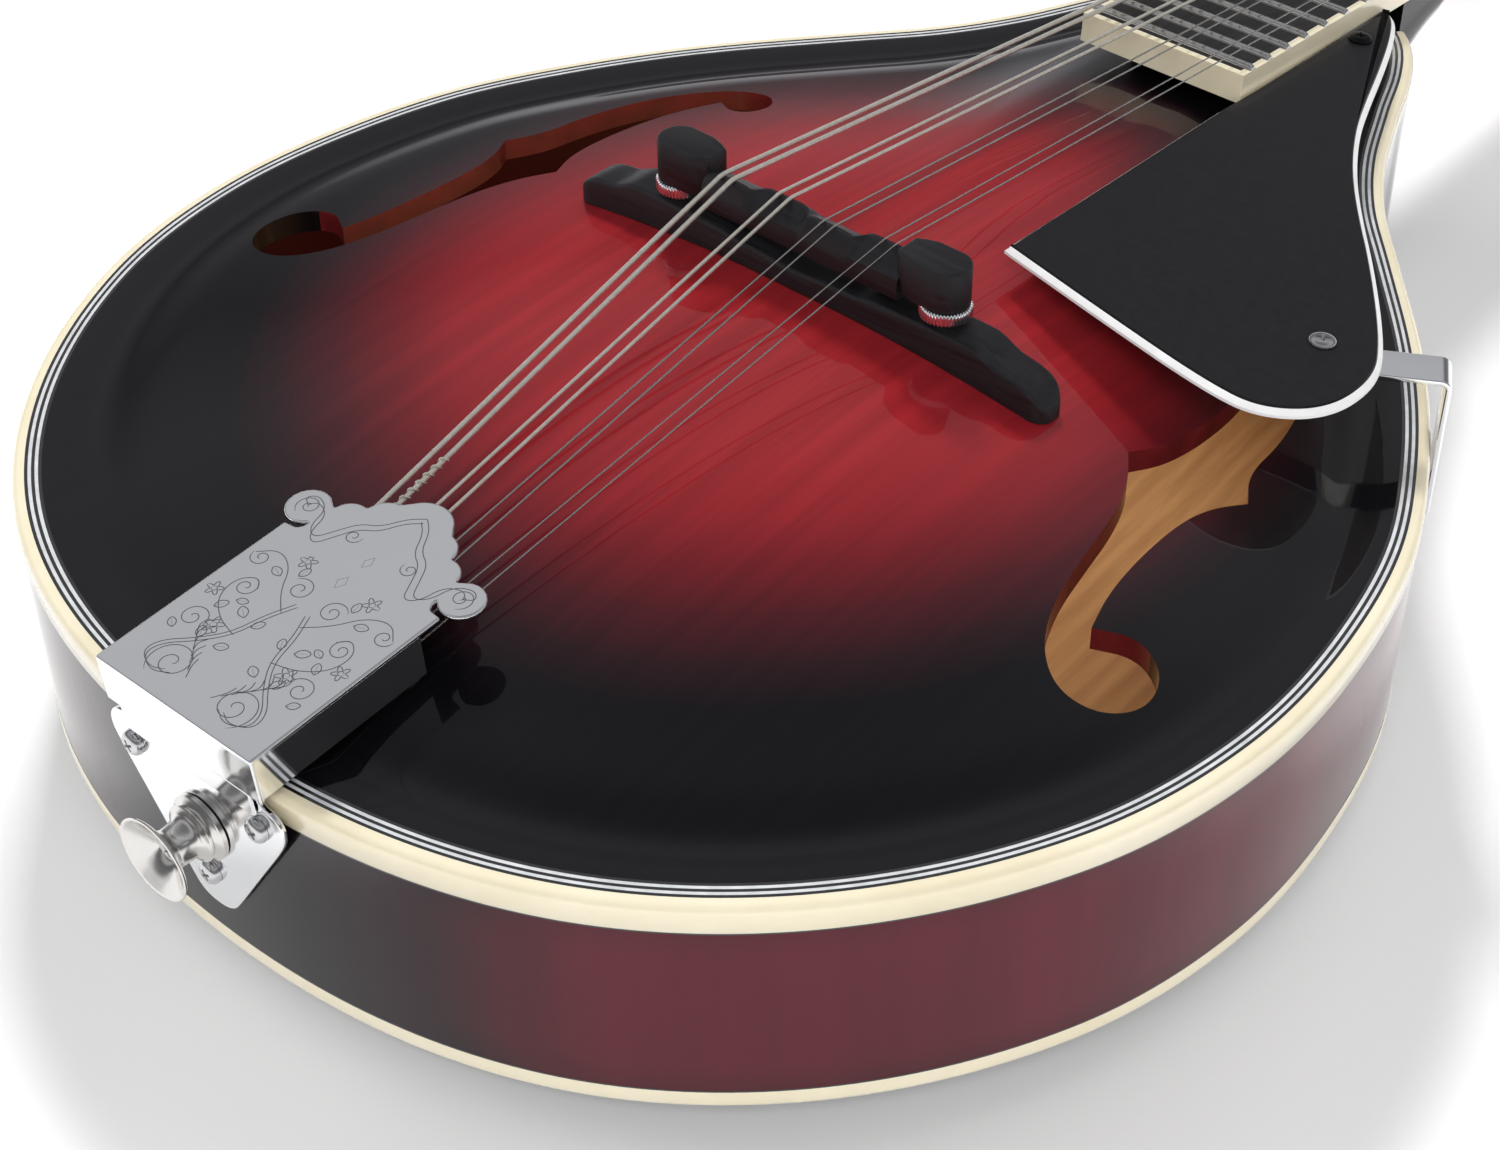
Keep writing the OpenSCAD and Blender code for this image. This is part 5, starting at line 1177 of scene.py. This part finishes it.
world = bpy.data.worlds.new("studio")
bpy.context.scene.world = world
world.use_nodes = True
wt = world.node_tree
bg = wt.nodes["Background"]
tc = wt.nodes.new("ShaderNodeTexCoord")
sx = wt.nodes.new("ShaderNodeSeparateXYZ")
wt.links.new(tc.outputs["Generated"], sx.inputs[0])
wr = wt.nodes.new("ShaderNodeValToRGB")
wt.links.new(sx.outputs[2], wr.inputs[0])
els = wr.color_ramp.elements
els[0].position, els[0].color = 0.0, (0.95, 0.96, 1.0, 1)
els[1].position, els[1].color = 0.92, (0.22, 0.225, 0.24, 1)
for pos, v in ((0.05, 0.85), (0.16, 0.20), (0.42, 0.14), (0.56, 0.46), (0.74, 0.50)):
    e = els.new(pos)
    e.color = (v, v, v * 1.04, 1)
wt.links.new(wr.outputs[0], bg.inputs[0])
bg.inputs[1].default_value = 0.9


def light(name, at, to, size, power, mirrored=True, tone=(1, 1, 1)):
    d = bpy.data.lights.new(name, "AREA")
    d.shape, d.size, d.size_y = "RECTANGLE", size[0], size[1]
    d.energy, d.color = power, tone
    o = bpy.data.objects.new(name, d)
    o.location = at
    o.rotation_mode = "QUATERNION"
    o.rotation_quaternion = (Vector(to) - Vector(at)).to_track_quat("-Z", "Y")
    o.visible_glossy = mirrored
    bpy.context.scene.collection.objects.link(o)


light("key", (-1.1, 0.9, 1.7), (0, -0.1, 0), (0.34, 0.34), 34, mirrored=False)
light("left", (-1.7, -0.9, 1.2), (0, -0.1, 0), (1.6, 1.2), 14, mirrored=False)
light("fill", (1.9, -1.2, 1.0), (0, -0.1, 0), (1.6, 1.0), 18, mirrored=False)
light("top", (0.3, 1.5, 2.4), (0, 0, 0), (2.2, 1.4), 14, mirrored=False)
light("front", (0.9, -1.3, 1.5), (0.05, -0.15, 0), (0.8, 0.6), 14, mirrored=False)
light("inside", row((0, 150, ZT - 14)), row((0, 150, 0)), (0.12, 0.16), 0.045, mirrored=False, tone=(1, 0.92, 0.8))
bpy.context.scene.view_settings.view_transform = "Standard"

cam_data = bpy.data.cameras.new("camera")
cam = bpy.data.objects.new("camera", cam_data)
bpy.context.scene.collection.objects.link(cam)
AZ, EL, ROLL, DIST = math.radians(38.97), math.radians(39.16), math.radians(1.3), 468.34
back = Vector((math.sin(AZ) * math.cos(EL), -math.cos(AZ) * math.cos(EL), math.sin(EL)))
target = Vector((43.7, 109.59, ZT))
fwd = -back
right = fwd.cross(Vector((0, 0, 1))).normalized()
up = right.cross(fwd)
right, up = math.cos(ROLL) * right + math.sin(ROLL) * up, -math.sin(ROLL) * right + math.cos(ROLL) * up
rot = Matrix((right, up, back)).transposed().to_4x4()
cam.matrix_world = Matrix.Translation(row(target + back * DIST)) @ rot
cam_data.sensor_width, cam_data.sensor_fit = 36, "HORIZONTAL"
cam_data.lens = 36 * 2705.41 / 1500
cam_data.shift_x, cam_data.shift_y = (750 - 860) / 1500, (530 - 575) / 1500
cam_data.clip_start, cam_data.clip_end = 0.01, 20
bpy.context.scene.camera = cam
